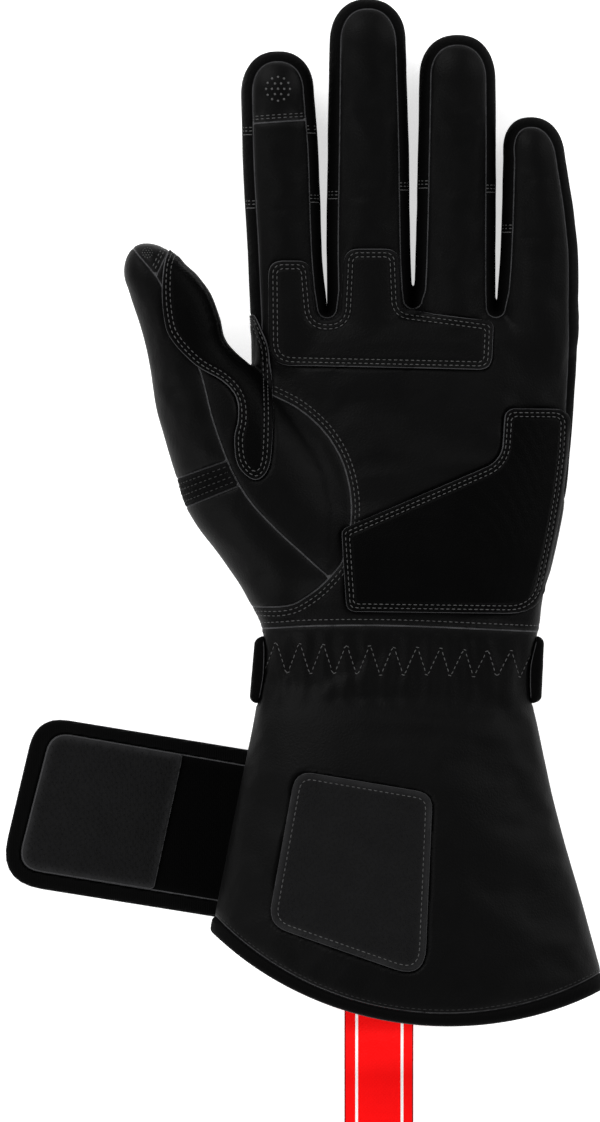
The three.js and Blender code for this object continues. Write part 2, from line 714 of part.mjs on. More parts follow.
function cuffHalf(side) {
  const cuffShell = bodyForm(0).subtract(bodyForm(-wall));
  return cuffShell.intersect(cuffArea).intersect(side).subtract(wristCut);
}

function hemBinding() {
  return bodyForm(bindingProud).subtract(bodyForm(-wall - bindingProud)).intersect(bindingArea);
}

function cuffPatch() {
  return bodyForm(loopPatchThickness).subtract(bodyForm(overlayGap))
    .intersect(aboveSeam).intersect(prism(rounded(loopPatchCorners)));
}

function wristStrap() {
  return bodyForm(strapThickness).subtract(bodyForm(overlayGap))
    .intersect(belowWidest).intersect(prism(rounded(strapCorners)));
}

function tabBinding() {
  const inside = prism(rounded(tabInnerCorners));
  return prism(rounded(tabOuterCorners), 0, tabBindingThickness).subtract(inside);
}

function tabCore() {
  const inside = sideways(rounded(tabInnerCorners), seamGap, true);
  const folded = band(tabFold.left, tabFold.right, tabFold.low, tabFold.high);
  return prism(inside, 0, tabCoreThickness).add(prism(inside, 0, tabFoldThickness).intersect(folded));
}

function tabHookPad() {
  const low = tabCoreThickness + overlayGap;
  return prism(sideways(rounded(hookPadCorners), seamGap, true), low, low + hookPadThickness);
}

function pullRibbon() {
  const middle = smooth(ribbonPath, ribbonFacets);
  const upper = sideways(middle, ribbonThickness / 2, false);
  const lower = sideways(middle, -ribbonThickness / 2, false);
  const shape = new THREE.Shape([...upper, ...lower.reverse()]);
  const geometry = new THREE.ExtrudeGeometry(shape, { depth: ribbonWidth, bevelEnabled: false });
  geometry.rotateX(Math.PI / 2);
  geometry.rotateZ(Math.PI / 2);
  geometry.translate(ribbonCentre - ribbonWidth / 2, 0, 0);
  return toSolid(geometry);
}

// Materials: colour, roughness

const shellLeather = { color: 0x1b1b1c, roughness: 0.62 };
const blackTextile = { color: 0x0c0c0d, roughness: 0.85 };
const patchLeather = { color: 0x0e0e0f, roughness: 0.55 };
const touchLeather = { color: 0x202022, roughness: 0.5 };
const stretchFabric = { color: 0x151516, roughness: 0.9 };
const fastenerTape = { color: 0x2a2628, roughness: 0.95 };
const bindingTape = { color: 0x080808, roughness: 0.8 };
const redRibbon = { color: 0xd8141a, roughness: 0.6 };

function addPiece(group, name, solid, look) {
  const { vertProperties, triVerts, numProp } = solid.getMesh();
  const positions = new Float32Array((vertProperties.length / numProp) * 3);
  for (let i = 0; i < positions.length / 3; i += 1) {
    positions.set(vertProperties.subarray(i * numProp, i * numProp + 3), i * 3);
  }
  const geometry = new THREE.BufferGeometry();
  geometry.setAttribute('position', new THREE.BufferAttribute(positions, 3));
  geometry.setIndex(new THREE.BufferAttribute(new Uint32Array(triVerts), 1));
  geometry.computeVertexNormals();
  const mesh = new THREE.Mesh(geometry, new THREE.MeshStandardMaterial({ ...look, metalness: 0 }));
  mesh.name = name;
  group.add(mesh);
}

const hand = new THREE.Group();
addPiece(hand, 'palm_panel', palmFaces.subtract(indexTouchArea), shellLeather);
addPiece(hand, 'index_touch_tip', palmFaces.intersect(indexTouchArea), touchLeather);
const [indexTip, middleTip, ringTip, littleTip] = fingers.map((finger) => finger.tip.across);
addPiece(hand, 'side_strip_index', sideStrip(farLeft, indexTip, stripLow.index), blackTextile);
addPiece(hand, 'fourchette_index_middle', sideStrip(indexTip, middleTip, stripLow.between), blackTextile);
addPiece(hand, 'fourchette_middle_ring', sideStrip(middleTip, ringTip, stripLow.between), blackTextile);
addPiece(hand, 'fourchette_ring_little', sideStrip(ringTip, littleTip, stripLow.between), blackTextile);
addPiece(hand, 'side_strip_little', sideStrip(littleTip, farRight, stripLow.little), blackTextile);
addPiece(hand, 'back_panel', backHalf.subtract(thumbBackArea).subtract(backCut), shellLeather);
addPiece(hand, 'knuckle_patch', overlay(rounded(knuckleCorners), knucklePatchThickness), patchLeather);
addPiece(hand, 'heel_patch', overlay(rounded(heelCorners), heelPatchThickness), patchLeather);

const thumb = new THREE.Group();
addPiece(thumb, 'thumb_front_panel', outerThumb.intersect(aboveInsertArea), shellLeather);
addPiece(thumb, 'thumb_stretch_insert',
  outerThumb.subtract(aboveInsertArea).subtract(belowInsertArea), stretchFabric);
addPiece(thumb, 'thumb_base_panel', outerThumb.intersect(belowInsertArea), shellLeather);
addPiece(thumb, 'thumb_ball_panel', innerThumb.subtract(thumbTouchArea), shellLeather);
addPiece(thumb, 'thumb_touch_tip', innerThumb.intersect(thumbTouchArea), touchLeather);
addPiece(thumb, 'thumb_back_panel', backHalf.intersect(thumbBackArea).subtract(backCut), shellLeather);
const crotchLine = smooth(crotchOutline, crotchFacets);
addPiece(thumb, 'thumb_crotch_patch', overlay(crotchLine, crotchPatchThickness), patchLeather);

const cuff = new THREE.Group();
addPiece(cuff, 'cuff_palm_panel', cuffHalf(aboveSeam), shellLeather);
addPiece(cuff, 'cuff_back_panel', cuffHalf(belowSeam), shellLeather);
addPiece(cuff, 'hem_binding', hemBinding(), bindingTape);
addPiece(cuff, 'cuff_loop_patch', cuffPatch(), fastenerTape);
addPiece(cuff, 'wrist_strap', wristStrap(), blackTextile);
addPiece(cuff, 'strap_tab_core', tabCore(), blackTextile);
addPiece(cuff, 'strap_tab_binding', tabBinding(), bindingTape);
addPiece(cuff, 'strap_tab_hook_pad', tabHookPad(), fastenerTape);
addPiece(cuff, 'pull_ribbon', pullRibbon(), redRibbon);

const glove = new THREE.Group();
glove.add(hand, thumb, cuff);

export default glove;
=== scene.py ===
# %% [markdown]
# # A left-hand gauntlet glove for motorcycling, lying palm up
#
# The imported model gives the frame: plain solids at their real size. This script dresses them. It
# makes one smooth skin for the whole glove, cuts it into the panels that a glove maker would sew,
# lets each panel puff up between its seams, and adds the patches, tapes and stitches on top.

# %% Load the frame
import math

import bpy
import numpy as np
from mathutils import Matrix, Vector, noise
from mathutils.bvhtree import BVHTree
from mathutils.kdtree import KDTree


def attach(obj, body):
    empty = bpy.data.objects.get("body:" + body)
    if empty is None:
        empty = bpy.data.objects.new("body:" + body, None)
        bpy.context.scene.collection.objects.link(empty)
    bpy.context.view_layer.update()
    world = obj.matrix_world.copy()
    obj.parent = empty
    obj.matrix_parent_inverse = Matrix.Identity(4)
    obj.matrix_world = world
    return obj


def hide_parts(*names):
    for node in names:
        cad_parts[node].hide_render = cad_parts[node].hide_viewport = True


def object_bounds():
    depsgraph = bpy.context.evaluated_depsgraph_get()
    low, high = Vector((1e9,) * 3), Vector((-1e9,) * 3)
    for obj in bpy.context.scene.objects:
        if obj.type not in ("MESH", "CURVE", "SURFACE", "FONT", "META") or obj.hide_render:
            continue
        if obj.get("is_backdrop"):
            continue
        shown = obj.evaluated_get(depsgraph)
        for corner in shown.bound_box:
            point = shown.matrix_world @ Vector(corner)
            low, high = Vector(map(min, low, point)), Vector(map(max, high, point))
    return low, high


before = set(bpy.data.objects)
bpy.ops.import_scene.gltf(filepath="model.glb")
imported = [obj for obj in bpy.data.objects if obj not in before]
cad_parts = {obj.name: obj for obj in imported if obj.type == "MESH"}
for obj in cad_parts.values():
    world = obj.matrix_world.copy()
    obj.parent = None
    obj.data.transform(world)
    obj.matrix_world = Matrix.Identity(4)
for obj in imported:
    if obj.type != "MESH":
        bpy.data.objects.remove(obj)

MM = 0.001
cad_low, cad_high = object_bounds()
print("CAD box in mm:", [round(v / MM, 1) for v in (*cad_low, *cad_high)])

# %% [markdown]
# ## The form of the glove
#
# A glove is sewn over a hand-shaped former. Here the former is a few lofts: rings of a rounded
# section that change size along the cuff, the palm and every finger. A lofted ring could also be
# modelled by hand as a box with subdivision, but a table of sections keeps the real widths, and
# the same widths place every seam later on. Tables hold millimetres.

# %% Sections of the cuff and the palm
BODY_COLUMNS = ("along", "left", "right", "bottom", "top", "square_top", "square_bottom")
BODY_ROWS = [
    (-150, -36.5, 99.6, 2.8, 50, 2.2, 2.7),
    (-107, -27.7, 87.6, 2.8, 46, 2.2, 2.7),
    (-70, -20.3, 77.3, 2.8, 41.5, 2.2, 2.7),
    (-57.5, -17.8, 74.6, 2.9, 39, 2.3, 2.8),
    (-46.7, -15.6, 72.4, 3.4, 36, 2.4, 2.9),
    (-38.9, -14.2, 70.8, 3.8, 33.2, 2.5, 3),
    (-29.5, -12.6, 70.5, 3.9, 31.9, 2.5, 3.1),
    (-21.9, -12.2, 71.8, 3.9, 31.6, 2.5, 3.1),
    (-16.6, -12.9, 72.9, 3.3, 32.5, 2.5, 3.2),
    (-8, -13.2, 73.9, 1.6, 33, 2.5, 3.4),
    (2, -13.6, 76.7, -0.7, 33.2, 2.6, 3.6),
    (25, -14.6, 81.1, -1, 30.6, 2.6, 3.6),
    (50, -15.3, 83.45, -1, 27, 2.6, 3.5),
    (73, -15.8, 84.6, -0.2, 23.4, 2.5, 3.2),
    (79.4, -14, 83.4, 1.6, 21, 2.3, 2.6),
    (81.4, -10, 79.5, 6, 16.5, 2, 2),
]

# %% Sections of the fingers and the thumb
FINGER_COLUMNS = ("along", "left", "right")
FINGERS = {
    "index": {
        "tip": (-8.0, 162.2),
        "rows": [(52, -11, 5.5), (76, -16.1, 8.1), (85, -16.6, 6.85), (100.6, -17.3, 5.5),
                 (131.6, -18.9, 4.4), (149, -19.2, 3)],
    },
    "middle": {
        "tip": (19.9, 178.5),
        "rows": [(52, 10, 31), (76, 7.3, 33.9), (85, 7.5, 33.75), (100.6, 7.3, 33.05),
                 (131.6, 7.7, 32.55), (164, 8.1, 31.65)],
    },
    "ring": {
        "tip": (47.7, 167.3),
        "rows": [(52, 36.5, 57.5), (76, 33.4, 59.9), (85, 34.2, 59.5), (100.6, 34.9, 59.5),
                 (131.6, 35.6, 59.6), (153.3, 36.0, 59.5)],
    },
    "little": {
        "tip": (70.5, 141.9),
        "rows": [(52, 62.5, 79.5), (76, 59.7, 85.1), (85, 60.1, 85.1), (96, 60.9, 85.1),
                 (110, 61.5, 84.0), (129, 62.0, 81.2)],
    },
}
FINGER_DEPTH_COLUMNS = ("along", "bottom", "top")
FINGER_DEPTHS = [(52, 4.5, 21.5), (76, 0.4, 22.6), (100, 0.8, 21.6), (135, 1.6, 20.8), (180, 2.0, 20.2)]
FINGER_SQUARES = (2.2, 2.6)
CURL_START, CURL_LENGTH, CURL_RISE = 76, 98, 9

THUMB_COLUMNS = ("along", "left", "right", "bottom", "top")
THUMB_ROWS = [
    (-14, -12.6, 8, 6, 28), (-7, -17.9, 13, 4, 32), (3, -19, 17.5, 2.5, 35), (16.3, -22, 21.5, 1.5, 36.8),
    (27, -24.9, 22, 1.5, 37), (34, -25.9, 20.5, 2, 36.6), (44, -25, 17, 3.5, 35.8), (54, -24, 13, 5.5, 35),
    (64, -22.9, 9.6, 8, 34.4), (72, -21.2, 5.7, 10, 34), (77, -20, 4.3, 10.9, 33.9),
    (83, -18.8, 5.3, 12, 33.8), (90, -18, 5.6, 12.8, 33.6), (98, -17.5, 3.9, 13.6, 33),
    (103, -17.1, 1.5, 14, 32.7),
]
THUMB_TIP = (-9.2, 114)
THUMB_TURN = math.radians(22)
THUMB_SQUARES = (2.2, 2.4)

# %% [markdown]
# The curve through the rows of a table must not swing past them, or the wrist would bulge between
# two sections. A Hermite curve whose tangents are the harmonic mean of its neighbours' slopes
# keeps every value between the two rows beside it.

# %% Curves through a table
def between(low, high, start, end, t):
    """A Hermite curve from low to high that starts and ends with the given slopes."""
    return (low * (1 + 2 * t) * (1 - t) ** 2 + start * t * (1 - t) ** 2
            + high * t * t * (3 - 2 * t) + end * t * t * (t - 1))


def smooth_through(places, values, wanted):
    """Values at the wanted places on a smooth curve that never overshoots its points."""
    places, values, wanted = (np.asarray(v, float) for v in (places, values, wanted))
    steps = np.diff(places)
    slopes = np.diff(values) / steps
    before, after = slopes[:-1], slopes[1:]
    same_way = before * after > 0
    both = np.where(same_way, before + after, 1)
    tangents = np.concatenate([slopes[:1], np.where(same_way, 2 * before * after / both, 0), slopes[-1:]])
    cell = np.clip(np.searchsorted(places, wanted) - 1, 0, len(steps) - 1)
    t = np.clip((wanted - places[cell]) / steps[cell], 0, 1)
    start, end = tangents[cell] * steps[cell], tangents[cell + 1] * steps[cell]
    return between(values[cell], values[cell + 1], start, end, t)


def columns_at(columns, rows, along):
    """Each named column of a table at the given places along the glove."""
    table = np.array(rows, float)
    return {name: smooth_through(table[:, 0], table[:, i], along) for i, name in enumerate(columns)}


# %% Rounded rings and lofts
LOFT_STEP = 1.5
LOFT_SIDES = 96
TIP_RINGS, TIP_END, TIP_FLATNESS = 12, 0.985, 0.8
FINGER_FULLNESS, THUMB_FULLNESS = 2.25, 1.75
SKIN_ALLOWANCE = 0.15


def section_rings(section):
    """Rings of a rounded section, pressed flat where they would dip below the floor.

    They are a little wider than the table, which makes good what smoothing takes away.
    """
    angle = np.linspace(0, 2 * np.pi, LOFT_SIDES, endpoint=False)[None, :]
    cosine, sine = np.cos(angle), np.sin(angle)
    power = 2 / np.where(sine >= 0, section["square_top"][:, None], section["square_bottom"][:, None])
    centre = (section["left"] + section["right"])[:, None] / 2
    half_width = (section["right"] - section["left"])[:, None] / 2 + SKIN_ALLOWANCE
    middle = (section["bottom"] + section["top"])[:, None] / 2
    half_height = (section["top"] - section["bottom"])[:, None] / 2
    x = centre + half_width * np.sign(cosine) * np.abs(cosine) ** power
    z = middle + half_height * np.sign(sine) * np.abs(sine) ** power
    y = np.broadcast_to(section["along"][:, None], x.shape)
    return np.stack([x, y, np.maximum(z, 0)], axis=-1)


def with_tip(section, tip, fullness):
    """The sections, closed by a rounded tip: an ellipse in plan at fullness 2, squarer above it."""
    turn = np.linspace(0, np.pi / 2, TIP_RINGS + 1)[1:] * TIP_END
    forward = np.sin(turn) ** (2 / fullness)
    last = {name: values[-1] for name, values in section.items()}
    centre = (last["left"] + last["right"]) / 2
    across = centre + (tip[0] - centre) * forward
    half_width = (last["right"] - last["left"]) / 2 * np.cos(turn) ** (2 / fullness)
    middle = (last["bottom"] + last["top"]) / 2
    half_height = (last["top"] - last["bottom"]) / 2 * np.cos(turn) ** TIP_FLATNESS
    cap = {
        "along": last["along"] + (tip[1] - last["along"]) * forward,
        "left": across - half_width,
        "right": across + half_width,
        "bottom": middle - half_height,
        "top": middle + half_height,
        "square_top": np.full(len(turn), last["square_top"]),
        "square_bottom": np.full(len(turn), last["square_bottom"]),
    }
    return {name: np.concatenate([section[name], cap[name]]) for name in cap}


def loft(rings):
    """A closed mesh through rings of points."""
    rows, sides, _ = rings.shape
    points = np.concatenate([rings.reshape(-1, 3), [rings[0].mean(0), rings[-1].mean(0)]])
    faces = []
    for row in range(rows - 1):
        for side in range(sides):
            following = (side + 1) % sides
            faces.append((row * sides + side, row * sides + following,
                          (row + 1) * sides + following, (row + 1) * sides + side))
    for side in range(sides):
        following = (side + 1) % sides
        faces.append((rows * sides, following, side))
        last = (rows - 1) * sides
        faces.append((rows * sides + 1, last + side, last + following))
    return points, faces


# %% Build the lofts
def places(rows):
    first, last = rows[0][0], rows[-1][0]
    return np.linspace(first, last, int((last - first) / LOFT_STEP) + 2)


def curl_at(along):
    return CURL_RISE * (np.maximum(0, along - CURL_START) / CURL_LENGTH) ** 2


def body_section(along):
    return columns_at(BODY_COLUMNS, BODY_ROWS, along)


def squared(section, top, bottom):
    """The sections with one squareness above and one below their middle."""
    count = len(section["along"])
    return section | {"square_top": np.full(count, top), "square_bottom": np.full(count, bottom)}


def finger_section(finger):
    along = places(finger["rows"])
    section = columns_at(FINGER_COLUMNS, finger["rows"], along)
    for side, depth in columns_at(FINGER_DEPTH_COLUMNS, FINGER_DEPTHS, along).items():
        if side != "along":
            section[side] = depth + curl_at(along)
    return with_tip(squared(section, *FINGER_SQUARES), finger["tip"], FINGER_FULLNESS)


def thumb_section():
    along = places(THUMB_ROWS)
    section = columns_at(THUMB_COLUMNS, THUMB_ROWS, along)
    return with_tip(squared(section, *THUMB_SQUARES), THUMB_TIP, THUMB_FULLNESS)


def turned(points, angle):
    cosine, sine = math.cos(angle), math.sin(angle)
    x, y = points[..., 0].copy(), points[..., 1].copy()
    result = points.copy()
    result[..., 0] = x * cosine - y * sine
    result[..., 1] = x * sine + y * cosine
    return result


body_loft = loft(section_rings(body_section(places(BODY_ROWS))))
finger_lofts = [loft(section_rings(finger_section(finger))) for finger in FINGERS.values()]
thumb_points, thumb_faces = loft(section_rings(thumb_section()))
thumb_loft = (turned(thumb_points, THUMB_TURN), thumb_faces)
print("lofts:", 2 + len(finger_lofts), "with", len(body_loft[0]), "points in the cuff and palm")

# %% [markdown]
# ## One skin
#
# The lofts pass through each other at the finger roots and the ball of the thumb. A voxel remesh
# fuses them into one even skin, like wet leather pulled over the former, and a few rounds of
# smoothing soften the creases. The slits between the fingers are thinner than a voxel near the
# webs, so the fingers are spread a little before the remesh and closed again after it.

# %% Spread and close the fingers
SPREAD = 1.6
SPREAD_STARTS = (76, 79.7, 79.5)
SPREAD_LENGTH = 7
LEAST_SLIT = 0.01


def web_opening(web, along):
    """How far the two fingers beside a web are moved apart at each place along them."""
    t = np.clip((along - SPREAD_STARTS[web]) / SPREAD_LENGTH, 0, 1)
    return SPREAD * t * t * (3 - 2 * t)


def closed_again(points):
    """Moves the fingers back together. Between two fingers the move grows evenly across the slit."""
    result = points.copy()
    names = list(FINGERS)
    moved = 0
    for web, (here, there) in enumerate(zip(names, names[1:])):
        opening = web_opening(web, points[:, 1])
        low = columns_at(FINGER_COLUMNS, FINGERS[here]["rows"], points[:, 1])["right"] + moved
        moved = moved + opening
        high = columns_at(FINGER_COLUMNS, FINGERS[there]["rows"], points[:, 1])["left"] + moved
        ramp = np.clip((points[:, 0] - low) / np.maximum(high - low, LEAST_SLIT), 0, 1)
        result[:, 0] -= ramp * opening
    return result


def spread_loft(number, piece):
    points = piece[0].copy()
    points[:, 0] += sum(web_opening(web, points[:, 1]) for web in range(number))
    return points, piece[1]


# %% Fuse the lofts
VOXEL = 0.9


def in_scene(name, data):
    """A new object in the scene."""
    made = bpy.data.objects.new(name, data)
    bpy.context.scene.collection.objects.link(made)
    return made


def mesh_object(name, points, faces):
    """A new mesh object from points in millimetres."""
    mesh = bpy.data.meshes.new(name)
    mesh.from_pydata((np.asarray(points) * MM).tolist(), [], [list(map(int, face)) for face in faces])
    mesh.update()
    return in_scene(name, mesh)


def joined(pieces):
    points, faces, start = [], [], 0
    for piece_points, piece_faces in pieces:
        points.append(piece_points)
        faces += [tuple(start + i for i in face) for face in piece_faces]
        start += len(piece_points)
    return np.concatenate(points), faces


def read_back(made):
    """Points in millimetres and triangles of an object with its modifiers, which is then removed."""
    evaluated = made.evaluated_get(bpy.context.evaluated_depsgraph_get())
    mesh = bpy.data.meshes.new_from_object(evaluated)
    mesh.calc_loop_triangles()
    points = np.empty(len(mesh.vertices) * 3, np.float32)
    mesh.vertices.foreach_get("co", points)
    triangles = np.empty(len(mesh.loop_triangles) * 3, np.int32)
    mesh.loop_triangles.foreach_get("vertices", triangles)
    bpy.data.meshes.remove(mesh)
    bpy.data.objects.remove(made)
    return points.reshape(-1, 3).astype(float) / MM, triangles.reshape(-1, 3)


def fused(name, pieces, voxel):
    made = mesh_object(name, *joined(pieces))
    remesh = made.modifiers.new("fuse", "REMESH")
    remesh.mode = "VOXEL"
    remesh.voxel_size = voxel * MM
    return read_back(made)


spread_fingers = [spread_loft(number, piece) for number, piece in enumerate(finger_lofts)]
skin_points, skin_triangles = fused("skin", [body_loft, *spread_fingers, thumb_loft], VOXEL)
skin_points = closed_again(skin_points)
print("fused skin:", len(skin_points), "points,", len(skin_triangles), "triangles")

# %% [markdown]
# Smoothing by itself shrinks a mesh. Taking each small step forward and a slightly larger one
# back keeps the size and removes only the ripple of the voxels. The creases at the roots of the
# fingers and the thumb get plain smoothing, which fills them like padding.

# %% Smooth the skin
def sides_of(triangles):
    return np.concatenate([triangles[:, [0, 1]], triangles[:, [1, 2]], triangles[:, [2, 0]]])


def edges_of(triangles):
    return np.unique(np.sort(sides_of(triangles), axis=1), axis=0)


def neighbour_mean(values, edges, count):
    """Mean of the values at each point's neighbours."""
    a, b = edges.T
    near = np.maximum(np.bincount(a, minlength=count) + np.bincount(b, minlength=count), 1)
    columns = [np.bincount(a, values[b, i], count) + np.bincount(b, values[a, i], count)
               for i in range(values.shape[1])]
    return np.stack(columns, axis=1) / near[:, None]


def unit(vectors):
    return vectors / np.maximum(np.linalg.norm(vectors, axis=1), 1e-12)[:, None]


def point_normals(points, triangles):
    a, b, c = (points[triangles[:, i]] for i in range(3))
    face = np.cross(b - a, c - a)
    total = np.stack([sum(np.bincount(triangles[:, i], face[:, k], len(points)) for i in range(3))
                      for k in range(3)], axis=1)
    return unit(total)


SMOOTH_ROUNDS, SMOOTH_STEPS = 8, [0.5, -0.53]
CREASE_ROUNDS, CREASE_STEP, CREASE_SPREAD = 40, 0.6, 6
CREASE_DEPTH, CREASE_TOP, CREASE_FADE = 0.02, 78, 6

skin_edges = edges_of(skin_triangles)
for factor in SMOOTH_STEPS * SMOOTH_ROUNDS:
    mean = neighbour_mean(skin_points, skin_edges, len(skin_points))
    skin_points += factor * (mean - skin_points)

normals = point_normals(skin_points, skin_triangles)
mean = neighbour_mean(skin_points, skin_edges, len(skin_points))
hollow = np.clip(((mean - skin_points) * normals).sum(1) / CREASE_DEPTH, 0, 1)[:, None]
for _ in range(CREASE_SPREAD):
    hollow = np.maximum(hollow, neighbour_mean(hollow, skin_edges, len(skin_points)))
below_webs = np.clip((CREASE_TOP - skin_points[:, 1]) / CREASE_FADE, 0, 1)[:, None]
for _ in range(CREASE_ROUNDS):
    mean = neighbour_mean(skin_points, skin_edges, len(skin_points))
    skin_points += CREASE_STEP * hollow * below_webs * (mean - skin_points)
skin_points[:, 2] = np.maximum(skin_points[:, 2], 0)
print("share of the skin in a crease:", round(float((hollow * below_webs > 0.5).mean()), 3))

# %% [markdown]
# ## Seam lines
#
# A maker marks the seams on a flat pattern. The seams here are lines in plan too, in millimetres,
# and a belt height round the sides where the palm side meets the back. Long curves need only a
# few points with a smooth curve through them.

# %% Lines in plan
def curve_through(points, steps):
    """A smooth curve through points in plan."""
    points = np.array(points, float)
    padded = np.concatenate([points[:1], points, points[-1:]])
    result = []
    for before, start, end, after in zip(padded, padded[1:], padded[2:], padded[3:]):
        t = np.linspace(0, 1, steps, endpoint=False)[:, None]
        result.append(between(start, end, (end - before) / 2, (after - start) / 2, t))
    return np.concatenate([*result, points[-1:]])


def rounded(corners, steps=8):
    """A closed outline with rounded corners, from rows of x, y and radius."""
    result = []
    for number, (x, y, radius) in enumerate(corners):
        here = np.array([x, y], float)
        if radius == 0:
            result.append(here[None, :])
            continue
        before, after = (np.array(corners[(number + k) % len(corners)][:2], float) for k in (-1, 1))
        back = (before - here) / np.linalg.norm(before - here)
        ahead = (after - here) / np.linalg.norm(after - here)
        reach = radius / math.tan(math.acos(float(back @ ahead)) / 2)
        t = np.linspace(0, 1, steps)[:, None]
        start, end = here + back * reach, here + ahead * reach
        result.append(start * (1 - t) ** 2 + 2 * here * t * (1 - t) + end * t * t)
    return np.concatenate(result)


def circle_through(a, b, c):
    """Centre and radius of the circle through three points."""
    (ax, ay), (bx, by), (cx, cy) = a, b, c
    d = 2 * (ax * (by - cy) + bx * (cy - ay) + cx * (ay - by))
    aa, bb, cc = ax * ax + ay * ay, bx * bx + by * by, cx * cx + cy * cy
    centre = np.array([(aa * (by - cy) + bb * (cy - ay) + cc * (ay - by)) / d,
                       (aa * (cx - bx) + bb * (ax - cx) + cc * (bx - ax)) / d])
    return centre, float(np.hypot(*(centre - np.array(a))))


def plan_distance(points, outline):
    """Distance in plan to a closed outline, positive inside it."""
    x, y = points[:, 0], points[:, 1]
    nearest = np.full(len(points), np.inf)
    inside = np.zeros(len(points), bool)
    for (ax, ay), (bx, by) in zip(outline, np.roll(outline, -1, axis=0)):
        dx, dy = bx - ax, by - ay
        size = dx * dx + dy * dy
        if size < 1e-12:
            continue
        t = np.clip(((x - ax) * dx + (y - ay) * dy) / size, 0, 1)
        nearest = np.minimum(nearest, (x - ax - t * dx) ** 2 + (y - ay - t * dy) ** 2)
        spans = (ay > y) != (by > y)
        if dy != 0:
            inside ^= spans & (x < ax + (y - ay) * dx / dy)
    return np.where(inside, 1, -1) * np.sqrt(nearest)


# %% The seams of the hand
FINGER_INSET_LEFT, FINGER_INSET_RIGHT, FINGER_INSET_TIP = 3.2, 2.8, 3.1
WEB_BOTTOMS = [(7.3, 79.8), (33.9, 82.6), (59.6, 79.9)]
WEB_HALF_WIDTH = 2.7
FINGER_LINE_START, FINGER_LINE_STEP, TIP_LINE_POINTS, WEB_LINE_POINTS = 88, 2.0, 25, 13
PALM_RIGHT_EDGE = [(82.2, 84), (82.3, 70), (81.7, 57), (81.2, 46), (80.9, 35), (81, 24), (82, 11),
                   (82, -24)]
WRIST_SEAM = [(-40, -17), (-12, -16.7), (3.3, -15.9), (30, -15.9), (72.2, -17.7), (100, -18.6)]
BALL_ARC = [(-10, 56), (-1.5, 51.5), (6.6, 44.1), (12.4, 34), (14.8, 21), (12.9, 6.5), (8, -1), (1.1, -7),
            (-6.9, -10.1), (-26, -9.5)]
BELOW_WRIST = (-26, -24)
FORK_LINE = [(-13, 76), (-10.5, 66), (-10, 56)]
STRIP_FOOT = [(-10, 56), (-15.7, 63.2), (-18.6, 70), (-22, 82), (-34, 106), (-34, 130)]
THUMB_SEAM = [(-58, 108), (-52.1, 100.1), (-43.8, 89.2), (-39.5, 75), (-32.5, 64.3), (-27.7, 46.3),
              (-20.9, 29.3), (-11.6, 16.9), (8, -1)]
THUMB_TOUCH_LINE = [(-40.2, 103.5), (-42, 99.8), (-45.9, 92)]
INSERT_TOP_LINE = [(-48, 26.6), (-38.8, 29.9), (-23.2, 35.4)]
INSERT_BOTTOM_LINE = [(-46, 17), (-35.2, 21.3), (-19.7, 27.6)]
INDEX_TOUCH_LINE = [(-30, 138.5), (-15.4, 139.7), (1.1, 140.8), (6.5, 141.2)]
THUMB_BACK_LINE = [(-23, 86), (-18.6, 70), (-12.5, 58), (-9, 40), (-9, 20), (-13, 2), (-30, -12)]
FAR = 190
CURVE_STEPS = 6


def finger_line(finger):
    """Up, over and down one finger, a little inside its silhouette."""
    shoulder = finger["rows"][-1][0]
    up = np.arange(FINGER_LINE_START, shoulder, FINGER_LINE_STEP)
    sides = columns_at(FINGER_COLUMNS, finger["rows"], np.append(up, shoulder))
    left, right = sides["left"] + FINGER_INSET_LEFT, sides["right"] - FINGER_INSET_RIGHT
    across, along = finger["tip"]
    turn = np.linspace(np.pi, 0, TIP_LINE_POINTS)
    forward = np.abs(np.sin(turn)) ** (2 / FINGER_FULLNESS)
    aside = np.sign(np.cos(turn)) * np.abs(np.cos(turn)) ** (2 / FINGER_FULLNESS)
    centre = (left[-1] + right[-1]) / 2
    centre = centre + (across - centre) * forward
    tip_x = centre + (right[-1] - left[-1]) / 2 * aside
    tip_y = shoulder + (along - FINGER_INSET_TIP - shoulder) * forward
    x = np.concatenate([left[:-1], tip_x, right[:-1][::-1]])
    y = np.concatenate([up, tip_y, up[::-1]])
    return np.stack([x, y], axis=1)


def web_line(bottom):
    turn = np.linspace(np.pi, 2 * np.pi, WEB_LINE_POINTS)
    return np.stack([bottom[0] + WEB_HALF_WIDTH * np.cos(turn),
                     bottom[1] + WEB_HALF_WIDTH * (1 + np.sin(turn))], axis=1)


def palm_outline():
    pieces = []
    for number, finger in enumerate(FINGERS.values()):
        pieces.append(finger_line(finger))
        if number < len(WEB_BOTTOMS):
            pieces.append(web_line(WEB_BOTTOMS[number]))
    pieces.append(curve_through(PALM_RIGHT_EDGE, CURVE_STEPS))
    pieces.append(np.array([BELOW_WRIST]))
    pieces.append(curve_through(BALL_ARC, CURVE_STEPS)[::-1])
    pieces.append(curve_through(FORK_LINE, CURVE_STEPS)[::-1][1:])
    return np.concatenate(pieces)


def inside_outline(outline):
    return lambda points: plan_distance(points, outline)


def area_beside(line, *far_corners):
    """A closed area whose one side is a seam and whose other corners lie off the glove."""
    return np.concatenate([curve_through(line, CURVE_STEPS), np.array(far_corners, float)])


